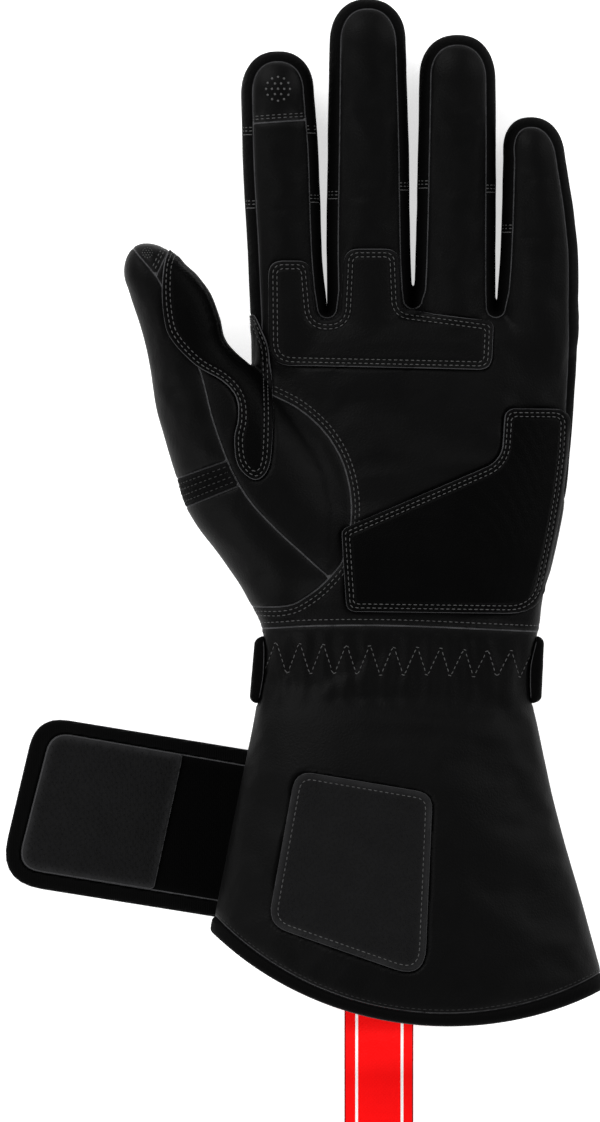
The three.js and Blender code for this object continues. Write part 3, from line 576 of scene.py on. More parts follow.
PALM_OUTLINE = palm_outline()
AREAS = {
    "index_touch": area_beside(INDEX_TOUCH_LINE, (6.5, FAR), (-30, FAR)),
    "thumb_side": area_beside(STRIP_FOOT, (-130, 130), (-130, -40), (15, -40), (15.5, 56)),
    "thumb_outer": area_beside(THUMB_SEAM, (8, -40), (-130, -40), (-130, 108)),
    "above_insert": area_beside(INSERT_TOP_LINE, (-15, 38.3), (-15, 130), (-130, 130), (-130, -3)),
    "below_insert": area_beside(INSERT_BOTTOM_LINE, (20, 43.7), (20, -40), (-130, -40), (-130, -17)),
    "thumb_touch": area_beside(THUMB_TOUCH_LINE, (-49.5, 84.8), (-75, 100), (-60, 130), (-40.2, 130)),
    "thumb_back": area_beside(THUMB_BACK_LINE, (-130, -12), (-130, 130), (-34, 130), (-34, 106)),
}
BINDING_CENTRE, BINDING_RADIUS = circle_through((-24.4, -108.6), (30, -134.4), (87.6, -125.4))
HEM_CENTRE, HEM_RADIUS = circle_through((-26.1, -113.3), (46.6, -139.4), (87.4, -130.9))
print("palm outline:", len(PALM_OUTLINE), "points; hem radius", round(HEM_RADIUS, 1), "mm")

# %% The belt seam between the palm side and the back
BELT_ROWS = [
    (-160, 25.5, 0), (-107, 24, 0), (-57, 20.5, 0), (-25, 17.5, 0), (-12, 15.5, 0.5), (10, 12.5, 3.5),
    (35, 10.8, 5.5), (62, 8.8, 9.5), (80, 7.5, 13), (112, 8.3, 14), (140, 10.6, 14), (185, 16.4, 14),
]
THUMB_RISE_START, THUMB_RISE_FULL = -14, -26
MOUTH_BELOW = -60


def belt_height(points):
    rows = columns_at(("along", "height", "thumb_rise"), BELT_ROWS, points[:, 1])
    ramp = np.clip((THUMB_RISE_START - points[:, 0]) / (THUMB_RISE_START - THUMB_RISE_FULL), 0, 1)
    return rows["height"] + rows["thumb_rise"] * ramp


def above_belt(points):
    return points[:, 2] - belt_height(points)


def above_wrist(points):
    line = curve_through(WRIST_SEAM, CURVE_STEPS)
    return points[:, 1] - np.interp(points[:, 0], line[:, 0], line[:, 1])


def above_binding(points):
    distance = BINDING_RADIUS - np.hypot(*(points[:, :2] - BINDING_CENTRE).T)
    return np.where(points[:, 1] < MOUTH_BELOW, distance, BINDING_RADIUS)


# %% [markdown]
# ## Cutting the skin
#
# Booleans with thin knives would leave ragged slivers on a mesh this dense. Here every seam is a
# field that is zero on its line. Each triangle that the line crosses is split exactly there, and
# points that lie very near the line are first moved onto it, so the cut edges are clean.

# %% Split triangles along a field
SNAP = 0.25


def edge_keys(p, q, count):
    """One number for each edge, whichever end comes first."""
    return np.minimum(p, q).astype(np.int64) * count + np.maximum(p, q)


def split_triangles(points, triangles, value):
    """Cuts triangles where value is zero. Returns the points, the triangles and each one's side."""
    sides = edges_of(triangles)
    a, b = sides.T
    crossing = value[a] * value[b] < 0
    a, b = a[crossing], b[crossing]
    share = value[a] / (value[a] - value[b])
    length = np.linalg.norm(points[b] - points[a], axis=1)
    target = points[a] + share[:, None] * (points[b] - points[a])
    near_a, near_b = share < SNAP, share > 1 - SNAP
    moving = np.concatenate([a[near_a], b[near_b]])
    to = np.concatenate([target[near_a], target[near_b]])
    far = np.concatenate([(share * length)[near_a], ((1 - share) * length)[near_b]])
    order = np.argsort(-far, kind="stable")
    points = points.copy()
    points[moving[order]] = to[order]
    value = value.copy()
    value[moving] = 0

    crossing = value[sides[:, 0]] * value[sides[:, 1]] < 0
    a, b = sides[crossing].T
    share = value[a] / (value[a] - value[b])
    added = points[a] + share[:, None] * (points[b] - points[a])
    keys = edge_keys(a, b, len(points))
    order = np.argsort(keys)
    keys, added = keys[order], added[order]
    first_new = len(points)

    def middle_of(p, q):
        return first_new + np.searchsorted(keys, edge_keys(p, q, first_new))

    sign = np.sign(value[triangles])
    plus, minus, zero = (sign > 0).sum(1), (sign < 0).sum(1), (sign == 0).sum(1)
    whole = (plus == 0) | (minus == 0)
    through_point = ~whole & (zero == 1)
    through_sides = ~whole & (zero == 0)
    made = [triangles[whole]]
    side = [np.where(minus[whole] > 0, -1, 1)]

    def rolled(mask, first):
        rows = triangles[mask]
        index = (first[:, None] + np.arange(3)) % 3
        return np.take_along_axis(rows, index, axis=1), np.take_along_axis(sign[mask], index, axis=1)

    if through_point.any():
        rows, signs = rolled(through_point, np.argmax(sign[through_point] == 0, axis=1))
        middle = middle_of(rows[:, 1], rows[:, 2])
        made += [np.stack([rows[:, 0], rows[:, 1], middle], 1), np.stack([rows[:, 0], middle, rows[:, 2]], 1)]
        side += [signs[:, 1], signs[:, 2]]
    if through_sides.any():
        lone_sign = np.where(plus[through_sides] == 1, 1, -1)
        rows, signs = rolled(through_sides, np.argmax(sign[through_sides] == lone_sign[:, None], axis=1))
        first, second = middle_of(rows[:, 0], rows[:, 1]), middle_of(rows[:, 0], rows[:, 2])
        made += [np.stack([rows[:, 0], first, second], 1), np.stack([first, rows[:, 1], rows[:, 2]], 1),
                 np.stack([first, rows[:, 2], second], 1)]
        side += [signs[:, 0], signs[:, 1], signs[:, 1]]
    return np.concatenate([points, added]), np.concatenate(made), np.concatenate(side)


class Skin:
    """Points and triangles with a panel name on each triangle."""

    def __init__(self, points, triangles):
        self.points = points
        self.triangles = triangles
        self.panel = np.full(len(triangles), "skin", dtype=object)

    def cut(self, panel, field, inside, outside, only=None):
        """Splits one panel along a field into two. only is a test on each triangle's middle."""
        chosen = self.panel == panel
        if only is not None:
            chosen &= only(self.points[self.triangles].mean(1))
        triangles = self.triangles[chosen]
        value = np.zeros(len(self.points))
        used = np.unique(triangles)
        value[used] = field(self.points[used])
        self.points, made, side = split_triangles(self.points, triangles, value)
        self.triangles = np.concatenate([self.triangles[~chosen], made])
        self.panel = np.concatenate([self.panel[~chosen], np.where(side > 0, inside, outside)])

    def drop(self, panel):
        kept = self.panel != panel
        self.triangles, self.panel = self.triangles[kept], self.panel[kept]

    def rename(self, panel, name, only):
        chosen = (self.panel == panel) & only(self.points[self.triangles].mean(1))
        self.panel[chosen] = name


def inside_area(name):
    return inside_outline(AREAS[name])


# %% Cut the panels
STRIP_SPLIT_ABOVE = 100
skin = Skin(skin_points, skin_triangles)
skin.cut("skin", above_binding, "skin", "mouth")
skin.drop("mouth")
skin.cut("skin", above_wrist, "hand", "cuff")
skin.cut("cuff", above_belt, "cuff_palm_panel", "cuff_back_panel")
skin.cut("hand", above_belt, "hand_top", "hand_back")
skin.cut("hand_back", inside_area("thumb_back"), "thumb_back_panel", "back_panel")
skin.cut("hand_top", inside_outline(PALM_OUTLINE), "palm_panel", "around")
skin.cut("palm_panel", inside_area("index_touch"), "index_touch_tip", "palm_panel")
skin.cut("around", inside_area("thumb_side"), "thumb_top", "strips")
finger_tips = [finger["tip"][0] for finger in FINGERS.values()]
for tip in finger_tips:
    skin.cut("strips", lambda points: points[:, 0] - tip, "strips", "strips",
             only=lambda middle: middle[:, 1] > STRIP_SPLIT_ABOVE)
STRIP_NAMES = ["side_strip_index", "fourchette_index_middle", "fourchette_middle_ring",
               "fourchette_ring_little", "side_strip_little"]
for name, low, high in zip(STRIP_NAMES, [-FAR, *finger_tips], [*finger_tips, FAR]):
    skin.rename("strips", name, lambda middle: (middle[:, 0] > low) & (middle[:, 0] <= high))
skin.cut("thumb_top", inside_area("thumb_outer"), "thumb_outer", "thumb_ball_panel")
skin.cut("thumb_ball_panel", inside_area("thumb_touch"), "thumb_touch_tip", "thumb_ball_panel")
skin.cut("thumb_outer", inside_area("above_insert"), "thumb_front_panel", "thumb_outer")
skin.cut("thumb_outer", inside_area("below_insert"), "thumb_base_panel", "thumb_stretch_insert")
for name in sorted(set(skin.panel)):
    print(name, int((skin.panel == name).sum()), "triangles")

# %% [markdown]
# ## Puffed panels
#
# A padded panel is thick in its middle and pinched where it is sewn. The distance of each point to
# the nearest seam gives both: the last millimetre or two rolls down into the seam, and the middle
# rises a little. The same distance is kept on the mesh, in millimetres, so that a material can
# draw the fine pale line of the cut edge. Patches sewn on top press the skin flat below them.

# %% Outlines of the patches, in plan
KNUCKLE_CORNERS = [(-10.8, 97.2, 4.3), (1.5, 97.2, 3.7), (3.2, 78.6, 4.3), (11.8, 78.6, 4.3),
                   (12.9, 100.9, 4.3), (29.2, 100.9, 4.3), (30, 82.1, 3.4), (58.9, 78.3, 2.5),
                   (58.2, 63.3, 4.3), (-10.5, 64.8, 7.4)]
HEEL_CORNERS = [(62.3, 51.3, 3.5), (82.4, 51.2, 5), (81.8, 38, 30), (80.2, 25, 30), (77.8, 11, 30),
                (75.9, 2, 30), (73.2, -12.2, 12), (13.4, -11.4, 3.1), (11.7, 13.8, 2.5), (61.2, 35.2, 9)]
CROTCH_LINE = [(-42, 99.8), (-43.8, 89.7), (-42.9, 78.4), (-40.4, 72.1), (-33.3, 64.6), (-25.2, 59.7),
               (-21, 54.6), (-20.3, 48), (-21.4, 42), (-20.2, 33.6), (-15, 29.2), (-10.8, 33),
               (-9.7, 44), (-9.8, 58), (-10.5, 69.7), (-12.6, 75.6), (-15.1, 80.4), (-17.6, 81),
               (-22, 90), (-34, 106)]
LOOP_CORNERS = [(-2.3, -60.6, 5.6), (39.9, -67.7, 5.6), (37.4, -125.1, 7.4), (-10.9, -108.3, 7.4)]
STRAP_TOP, STRAP_BOTTOM, STRAP_ABOVE_BELT = -19.1, -39.9, 4


def closed_curve(points, steps):
    """A smooth closed curve through points in plan."""
    wrapped = np.array([points[-2], points[-1], *points, points[0], points[1]], float)
    return curve_through(wrapped, steps)[2 * steps:-steps - 1]


PATCH_OUTLINES = {
    "knuckle_patch": rounded(KNUCKLE_CORNERS),
    "heel_patch": rounded(HEEL_CORNERS),
    "thumb_crotch_patch": closed_curve(CROTCH_LINE, 4),
    "cuff_loop_patch": rounded(LOOP_CORNERS),
}
for name, outline in PATCH_OUTLINES.items():
    print(name, len(outline), "points")

# %% Distance to the nearest seam
SEAM_SPOTS, BORDER_SPOTS = 4, 3


def spots_along(points, edges, count):
    """Evenly spaced points along each edge."""
    a, b = edges.T
    share = np.linspace(0, 1, count)[:, None, None]
    return (points[a] * (1 - share) + points[b] * share).reshape(-1, 3)


def seam_samples(points, triangles, panel):
    """Points along every edge where two panels meet or the skin ends, but not where two strips join."""
    panel = np.where(np.isin(panel, STRIP_NAMES), "strips", panel)
    corners = np.sort(sides_of(triangles), axis=1)
    owner = np.tile(np.unique(panel, return_inverse=True)[1], 3)
    key = edge_keys(*corners.T, len(points))
    order = np.argsort(key, kind="stable")
    key, owner, corners = key[order], owner[order], corners[order]
    same_next = np.append(key[1:] == key[:-1], False)
    same_before = np.insert(key[1:] == key[:-1], 0, False)
    alone = ~same_next & ~same_before
    differs = same_next & (owner != np.append(owner[1:], -1))
    return spots_along(points, corners[alone | differs], SEAM_SPOTS)


def tree_of(samples):
    tree = KDTree(len(samples))
    for number, point in enumerate(samples):
        tree.insert(point, number)
    tree.balance()
    return tree


def distance_to(samples, points):
    tree = tree_of(samples)
    return np.array([tree.find(point)[2] for point in points])


skin_normals = point_normals(skin.points, skin.triangles)
seam_distance = distance_to(seam_samples(skin.points, skin.triangles, skin.panel), skin.points)
print("share of the skin within 2 mm of a seam:", round(float((seam_distance < 2).mean()), 2))

# %% [markdown]
# Air pressure shows how a sewn shell wants to bulge. A coarse copy of the glove becomes cloth that
# is held along its seams and blown up for a moment. How far each point moves out is then shared
# with the fine skin. A simulation of the fine skin itself would take far longer and look the same,
# because padding has no fine folds.

# %% Blow up a coarse copy
SIM_VOXEL, SIM_FRAMES, SIM_PRESSURE, SIM_SLACK, SIM_CAP = 4.0, 20, 4.0, -0.03, 1.3
SIM_SEAM_WIDTH, SIM_HELD_REACH, SIM_FLOOR = 0.2, 2.6, 0.6
NEAREST, NEAREST_SOFTNESS = 4, 0.3
CLOTH_SETTINGS = {"quality": 5, "mass": 0.25, "tension_stiffness": 25, "compression_stiffness": 25,
                  "shear_stiffness": 12, "bending_stiffness": 1.5, "use_pressure": True,
                  "vertex_group_mass": "held"}
BULGE_ROUNDS, BULGE_STEP = 6, 0.5


def pinned_cloth(name, points, triangles, held, pressure=SIM_PRESSURE, slack=SIM_SLACK):
    """A cloth object that is pinned where held is true and filled with air."""
    made = mesh_object(name, points, triangles)
    pins = made.vertex_groups.new(name="held")
    pins.add([int(i) for i in np.flatnonzero(held)], 1.0, "REPLACE")
    cloth = made.modifiers.new("cloth", "CLOTH")
    for setting, value in CLOTH_SETTINGS.items():
        setattr(cloth.settings, setting, value)
    cloth.settings.shrink_min = slack
    cloth.settings.uniform_pressure_force = pressure
    cloth.settings.effector_weights.gravity = 0
    cloth.collision_settings.use_collision = False
    cloth.point_cache.frame_start = 1
    cloth.point_cache.frame_end = SIM_FRAMES
    return made


def blown_up(made):
    """Steps the cloth through its frames and reads its points back."""
    scene = bpy.context.scene
    for frame_number in range(1, SIM_FRAMES + 1):
        scene.frame_set(frame_number)
    moved, _ = read_back(made)
    scene.frame_set(1)
    return moved


def shared_with(coarse, lift, points):
    """The lift of a coarse mesh at each wanted point, from its four nearest coarse points."""
    near = tree_of(coarse)
    shared = np.empty(len(points))
    for number, point in enumerate(points):
        found = near.find_n(point, NEAREST)
        weights = [1 / (hit[2] + NEAREST_SOFTNESS) ** 2 for hit in found]
        shared[number] = sum(w * lift[hit[1]] for w, hit in zip(weights, found)) / sum(weights)
    return shared


def told(what, values):
    print(what, "by", round(float(values.mean()), 2), "mm, at most", round(float(values.max()), 2))


def bulge_of(points):
    """How far air pressure lifts the skin at each point, in millimetres."""
    coarse, coarse_triangles = fused("coarse skin", [(skin_points, skin_triangles.tolist())], SIM_VOXEL)
    held = distance_to(skin.points[seam_distance < SIM_SEAM_WIDTH], coarse) < SIM_HELD_REACH
    held |= coarse[:, 2] < SIM_FLOOR
    moved = blown_up(pinned_cloth("blown skin", coarse, coarse_triangles, held))
    outward = point_normals(coarse, coarse_triangles)
    lift = np.clip(((moved - coarse) * outward).sum(1), -SIM_CAP, SIM_CAP)
    told("cloth lifts the skin", lift)
    return shared_with(coarse, lift, points)


bulge = bulge_of(skin.points)
skin_edges = edges_of(skin.triangles)
for _ in range(BULGE_ROUNDS):
    bulge += BULGE_STEP * (neighbour_mean(bulge[:, None], skin_edges, len(bulge))[:, 0] - bulge)

# %% Roll, puff and folds
SEAM_DEPTH, SEAM_ROLL, SEAM_ON_SIDES = 0.6, 1.4, 0.3
PUFF_RISE, PUFF_REACH = 0.5, 7.0
BULGE_SHARE = 0.5
FINGER_JOINTS = [(-7, 113.5, 11), (-7, 136.5, 10), (20, 117, 12), (20, 144, 11), (47, 119, 12), (48, 142, 11),
                 (72, 105, 11), (71, 123, 9)]
JOINT_FOLD_DEPTH, JOINT_FOLD_WIDTH = 0.22, 1.7
ROLL_OFFSET, ROLL_WIDTH, ROLL_SHARE = 3.4, 2.4, 0.5
GATHER_MIDDLE, GATHER_HALF_LENGTH, GATHER_SPACING, GATHER_DEPTH = -27, 15, 6.4, 0.35
# Each noise has a height, the size of its bumps and a seed.
PADDING_NOISES, WAVER_NOISE, DRAPE_NOISE = [(0.28, 22, 1), (0.12, 8, 2)], (1.2, 9, 3), (0.6, 24, 5)
DRAPE_START, DRAPE_LENGTH, DRAPE_STRETCH = -45, 70, np.array([1, 0.25, 1])
FADE_REACH = 2.5
RIBS, RIB_DEPTH, RIB_VALLEY, RIB_ON_SIDES = 5, 0.45, 0.8, 0.3
PRESSED, PRESS_FADE, PRESS_BELOW_BELT, STRAP_MARGIN = 0.25, 0.9, -1, 1
CUFF_REST, CUFF_BELOW, FACING_DOWN = 2.6, -45, -0.3


def soft_noise(points, height, size, seed):
    """Smooth noise up to height, whose bumps are about size millimetres wide."""
    offset = Vector((seed * 17.3, seed * 7.1, seed * 3.7))
    return height * np.array([noise.noise(Vector(point) / size + offset) for point in points])


def folds_at(points, facing_up):
    """How far each point moves out of the skin in millimetres: folds, gathers and uneven padding."""
    rise = sum(soft_noise(points, *row) for row in PADDING_NOISES)
    x, y = points[:, 0], points[:, 1]
    waver = soft_noise(points, *WAVER_NOISE)
    for across, along, reach in FINGER_JOINTS:
        near = np.clip(1 - np.abs(x - across) / reach, 0, 1)
        fold = np.exp(-((y - along + waver) / JOINT_FOLD_WIDTH) ** 2)
        roll = np.exp(-((np.abs(y - along + waver) - ROLL_OFFSET) / ROLL_WIDTH) ** 2)
        rise += JOINT_FOLD_DEPTH * near * (ROLL_SHARE * roll - fold) * np.clip(facing_up, 0, 1)
    gather = np.clip(1 - ((y - GATHER_MIDDLE) / GATHER_HALF_LENGTH) ** 2, 0, 1)
    turn = 2 * np.pi * (x + waver) / GATHER_SPACING
    rise += GATHER_DEPTH * gather * np.cos(turn) * np.abs(facing_up)
    drape = np.clip((DRAPE_START - y) / DRAPE_LENGTH, 0, 1)
    return rise + drape * soft_noise(points * DRAPE_STRETCH, *DRAPE_NOISE)


def line_distance(points, line):
    """Distance in plan to an open line."""
    nearest = np.full(len(points), np.inf)
    for start, end in zip(line, line[1:]):
        step = end - start
        t = np.clip(((points[:, :2] - start) @ step) / (step @ step), 0, 1)
        nearest = np.minimum(nearest, ((points[:, :2] - start - t[:, None] * step) ** 2).sum(1))
    return np.sqrt(nearest)


def down_the_insert(points):
    """From 0 at the upper line of the stretch insert to 1 at its lower line."""
    upper = line_distance(points, curve_through(INSERT_TOP_LINE, CURVE_STEPS))
    lower = line_distance(points, curve_through(INSERT_BOTTOM_LINE, CURVE_STEPS))
    return upper / np.maximum(upper + lower, 1e-6)


facing_up = skin_normals[:, 2]
away_from_seams = 1 - np.exp(-(seam_distance / FADE_REACH) ** 2)
roll = SEAM_DEPTH * np.clip(1 - seam_distance / SEAM_ROLL, 0, 1) ** 2
roll *= SEAM_ON_SIDES + (1 - SEAM_ON_SIDES) * np.abs(facing_up)
puff = PUFF_RISE * (1 - np.exp(-(seam_distance / PUFF_REACH) ** 2)) * np.abs(facing_up)
folds = folds_at(skin.points, facing_up) + BULGE_SHARE * bulge * np.abs(facing_up)
move = puff - roll + folds * away_from_seams
ribbed = np.unique(skin.triangles[skin.panel == "thumb_stretch_insert"])
ribs = np.abs(np.sin(np.pi * RIBS * down_the_insert(skin.points[ribbed]))) - RIB_VALLEY
move[ribbed] += RIB_DEPTH * ribs * np.clip(facing_up[ribbed], RIB_ON_SIDES, 1)

covered = np.zeros(len(skin.points))
top_side = above_belt(skin.points) > PRESS_BELOW_BELT
for outline in PATCH_OUTLINES.values():
    near = top_side & (np.abs(skin.points[:, :2] - outline.mean(0)).max(1) < np.ptp(outline, axis=0).max())
    depth = plan_distance(skin.points[near], outline)
    covered[near] = np.maximum(covered[near], np.clip((depth + PRESS_FADE) / PRESS_FADE, 0, 1))
along = skin.points[:, 1]
under_strap = (along < STRAP_TOP + STRAP_MARGIN) & (along > STRAP_BOTTOM - STRAP_MARGIN)
covered[under_strap & (above_belt(skin.points) < STRAP_ABOVE_BELT + STRAP_MARGIN)] = 1
move = move * (1 - covered) - PRESSED * covered
skin_outside = skin.points + skin_normals * move[:, None]
under_cuff = (along < CUFF_BELOW) & (facing_up < FACING_DOWN)
skin_outside[:, 2] = np.maximum(skin_outside[:, 2], np.where(under_cuff, CUFF_REST, 0))
print("skin moves from", round(float(move.min()), 2), "to", round(float(move.max()), 2), "mm")

# %% [markdown]
# ## Patches sewn on top
#
# A patch is cut from the same skin as the panels below it, so it fits them like leather laid over
# leather. The triangles are split once more to hold its rolled edge. Stitch rows run at a set
# distance from the edge, so each row is a contour line of the distance to the border.

# %% Finer triangles and pieces of the uncut skin
PATCH_MARGIN = 2.5


def subdivided(points, triangles):
    """Each triangle in four."""
    sides = edges_of(triangles)
    keys = edge_keys(*sides.T, len(points))

    def middle(p, q):
        return len(points) + np.searchsorted(keys, edge_keys(p, q, len(points)))

    a, b, c = triangles.T
    ab, bc, ca = middle(a, b), middle(b, c), middle(c, a)
    quarters = [np.stack(corners, 1) for corners in ((a, ab, ca), (ab, b, bc), (ca, bc, c), (ab, bc, ca))]
    return np.concatenate([points, points[sides].mean(1)]), np.concatenate(quarters)


def only_used(triangles, *arrays):
    """The triangles renumbered, with just the rows of each array that they use."""
    used, local = np.unique(triangles, return_inverse=True)
    return local.reshape(-1, 3), *(values[used] for values in arrays)


def patch_of(fields, rounds, base):
    """The part of a base surface where every field is positive: points, normals and triangles."""
    base_points, base_triangles = base
    lowest = np.min([field(base_points) for field in fields], axis=0)
    near = (lowest[base_triangles] > -PATCH_MARGIN).any(1)
    triangles, points = only_used(base_triangles[near], base_points)
    for _ in range(rounds):
        points, triangles = subdivided(points, triangles)
    for field in fields:
        points, triangles, side = split_triangles(points, triangles, field(points))
        normals = point_normals(points, triangles)
        triangles, points, normals = only_used(triangles[side > 0], points, normals)
    return points, normals, triangles


def border_edges(triangles, count):
    """Edges that belong to one triangle only, in that triangle's order."""
    directed = sides_of(triangles).astype(np.int64)
    forward = directed[:, 0] * count + directed[:, 1]
    backward = directed[:, 1] * count + directed[:, 0]
    return directed[~np.isin(forward, backward)]


def border_samples(points, triangles):
    return spots_along(points, border_edges(triangles, len(points)), BORDER_SPOTS)


def rolled_edge(distance, radius):
    """0 at the border, rising along a quarter circle to 1."""
    t = np.clip(distance / radius, 0, 1)
    return np.sqrt(1 - (1 - t) ** 2)


# %% Lines on a surface
SHORTEST_ROW, SHORTEST_SEAM_ROW = 4.0, 2.0
LINE_ROUNDS = 4


def contours(points, normals, triangles, value, shortest=SHORTEST_ROW):
    """Lines where value is zero, as (points, normals, closed), each longer than shortest."""
    positive = value > 0
    mixed = positive[triangles]
    rows = triangles[mixed.any(1) & ~mixed.all(1)]
    if len(rows) == 0:
        return []
    corners = rows[:, [0, 1, 1, 2, 2, 0]].reshape(-1, 3, 2)
    crossing = positive[corners[..., 0]] != positive[corners[..., 1]]
    key = edge_keys(corners[..., 0], corners[..., 1], len(points))
    keys, ends = np.unique(key[crossing].reshape(-1, 2), return_inverse=True)
    ends = ends.reshape(-1, 2)
    a, b = keys // len(points), keys % len(points)
    share = (value[a] / (value[a] - value[b]))[:, None]
    place = points[a] + share * (points[b] - points[a])
    up = normals[a] + share * (normals[b] - normals[a])
    neighbours = [[] for _ in keys]
    for p, q in ends:
        neighbours[p].append(q)
        neighbours[q].append(p)
    seen = np.zeros(len(keys), bool)
    lines = []
    starts = [i for i, near in enumerate(neighbours) if len(near) == 1] + list(range(len(keys)))
    for start in starts:
        if seen[start]:
            continue
        line, here = [start], start
        seen[start] = True
        while True:
            following = [n for n in neighbours[here] if not seen[n]]
            if not following:
                break
            here = following[0]
            seen[here] = True
            line.append(here)
        closed = len(line) > 2 and start in neighbours[here] and len(neighbours[start]) == 2
        spots, tops = place[line], up[line]
        if np.linalg.norm(np.diff(spots, axis=0), axis=1).sum() < shortest:
            continue
        lines.append((*smoothed_line(spots, tops, closed), closed))
    return lines


def smoothed_line(spots, tops, closed, rounds=LINE_ROUNDS):
    for _ in range(rounds):
        for values in (spots, tops):
            if closed:
                values[:] = (np.roll(values, 1, 0) + 2 * values + np.roll(values, -1, 0)) / 4
            else:
                values[1:-1] = (values[:-2] + 2 * values[1:-1] + values[2:]) / 4
    return spots, unit(tops)


# %% Cut the patches
LIFT = 0.1
UNCUT = (skin_points, skin_triangles)
PATCH_COLUMNS = ("thickness", "edge_radius", "rows", "row_depth", "crown", "rounds")
PATCHES = {
    "knuckle_patch": (1.3, 0.8, (1.24, 2.5), 0.3, 0.25, 1),
    "heel_patch": (2.1, 0.9, (1.15, 2.35), 0.45, 0.9, 1),
    "thumb_crotch_patch": (1.4, 0.7, (1.24, 2.5), 0.3, 0.2, 1),
    "cuff_loop_patch": (1.3, 0.5, (2.0,), 0.15, 0.0, 0),
}
EDGE_SHARE, CROWN_REACH, ROW_WIDTH = 0.35, 5, 0.42
SIDE_THICKNESS, SKIVE_START, SKIVE_END = 0.15, 0.45, 0.85
BRIDGE_ROUNDS, NORMAL_ROUNDS = 60, 6
ABOVE_BELT_SEAM = 0.35


def patch_fields(name):
    return [inside_outline(PATCH_OUTLINES[name]), lambda p: above_belt(p) - ABOVE_BELT_SEAM]


def smoothed(values, edges, rounds):
    for _ in range(rounds):
        values = neighbour_mean(values, edges, len(values))
    return values


def bridged(points, triangles, rounds):
    """The surface pulled taut across hollows, as thick leather lies over a crease, and its normals."""
    edges, rim = edges_of(triangles), border_edges(triangles, len(points))
    on_rim = np.isin(np.arange(len(points)), rim)
    taut = points.copy()
    for _ in range(rounds):
        within, along = (neighbour_mean(taut[:, 2:], lines, len(taut))[:, 0] for lines in (edges, rim))
        taut[:, 2] = np.maximum(np.where(on_rim, along, within), points[:, 2])
    return taut, unit(smoothed(point_normals(taut, triangles), edges, NORMAL_ROUNDS))


PADDED = ("heel_patch",)
PAD_PRESSURE, PAD_SLACK, PAD_CAP, PAD_SMOOTHING = 4.0, 0.0, 1.6, 10
PAD_SHARE, PAD_HELD_MARGIN = 0.9, 0.6


def pad_lift(name, patch, wanted):
    """The foam of a padded patch: cloth held outside its inner stitch row and pushed up by air."""
    points, normals, triangles = patch_of(patch_fields(name), 0, UNCUT)
    held = distance_to(border_samples(points, triangles), points) < patch["rows"][-1] + PAD_HELD_MARGIN
    moved = blown_up(pinned_cloth("blown " + name, points, triangles, held, PAD_PRESSURE, PAD_SLACK))
    lift = np.clip(((moved - points) * normals).sum(1), 0, PAD_CAP)
    lift = smoothed(lift[:, None], edges_of(triangles), PAD_SMOOTHING)[:, 0]
    told("cloth lifts " + name, lift)
    return PAD_SHARE * shared_with(points, lift, wanted)


stitch_rows = []
patch_parts = {}
for name, row in PATCHES.items():
    patch = dict(zip(PATCH_COLUMNS, row))
    points, normals, triangles = patch_of(patch_fields(name), patch["rounds"], UNCUT)
    near = distance_to(border_samples(points, triangles), points)
    inside = points + normals * LIFT
    points, normals = bridged(points, triangles, BRIDGE_ROUNDS)
    edge_roll = EDGE_SHARE + (1 - EDGE_SHARE) * rolled_edge(near, patch["edge_radius"])
    facing = np.clip((normals[:, 2] - SKIVE_START) / (SKIVE_END - SKIVE_START), 0, 1)
    skived = SIDE_THICKNESS + (1 - SIDE_THICKNESS) * facing
    height = LIFT + patch["thickness"] * skived * edge_roll
    if name in PADDED:
        height += pad_lift(name, patch, inside)
    else:
        height += patch["crown"] * (1 - np.exp(-(np.maximum(near - patch["rows"][-1], 0) / CROWN_REACH) ** 2))
    seen = plan_distance(points + normals * height[:, None], PATCH_OUTLINES[name])
    for row_distance in patch["rows"]:
        lines = contours(points + normals * height[:, None], normals, triangles, seen - row_distance)
        stitch_rows += [(name, *line) for line in lines]
        height -= patch["row_depth"] * np.exp(-((seen - row_distance) / ROW_WIDTH) ** 2)
    patch_parts[name] = (points + normals * height[:, None], inside, triangles, near)
    print(name, len(triangles), "triangles on top,", len(lines), "lines in its last row")

# %% [markdown]
# Stitch rows on the panels are contour lines as well: a row beside a seam keeps its distance to
# that seam. Rows that only follow a drawn path, such as the zigzag over the wrist elastic, are
# dropped onto the skin from above.

# %% Rows beside the seams
BALL_SEAM_START = (-20, 59.5)
BALL_SEAM = np.concatenate([[BALL_SEAM_START], curve_through(BALL_ARC, CURVE_STEPS)])
INDEX_TOUCH_SEAM = curve_through(INDEX_TOUCH_LINE, CURVE_STEPS)
THUMB_TOUCH_SEAM = curve_through(THUMB_TOUCH_LINE, CURVE_STEPS)
HAND_PANELS = [name for name in sorted(set(skin.panel)) if not name.startswith("cuff")]
CUFF_PANELS = ["cuff_palm_panel", "cuff_back_panel"]


def off_line(line):
    return lambda points: line_distance(points, line)


# The panels that carry the rows, the field that they follow and its value on each row.
PANEL_ROWS = [
    (["palm_panel"], off_line(BALL_SEAM), (1.24, 2.5)),
    (["index_touch_tip"], off_line(INDEX_TOUCH_SEAM), (1.24, 2.2)),
    (["thumb_touch_tip"], off_line(THUMB_TOUCH_SEAM), (1.2, 2.2)),
    (["thumb_stretch_insert"], down_the_insert, tuple(rib / RIBS for rib in range(1, RIBS))),
    (HAND_PANELS, above_wrist, (1.86,)),
    (CUFF_PANELS, above_binding, (0.95,)),
]
for panels, field, levels in PANEL_ROWS:
    chosen = skin.triangles[np.isin(skin.panel, panels)]
    chosen, *parts = only_used(chosen, skin.points, skin_outside, skin_normals)
    value = field(parts[0])
    for level in levels:
        lines = contours(parts[1], parts[2].copy(), chosen, value - level, shortest=SHORTEST_SEAM_ROW)
        stitch_rows += [(panels[0], *line) for line in lines]
print(len(stitch_rows), "rows of stitches so far")

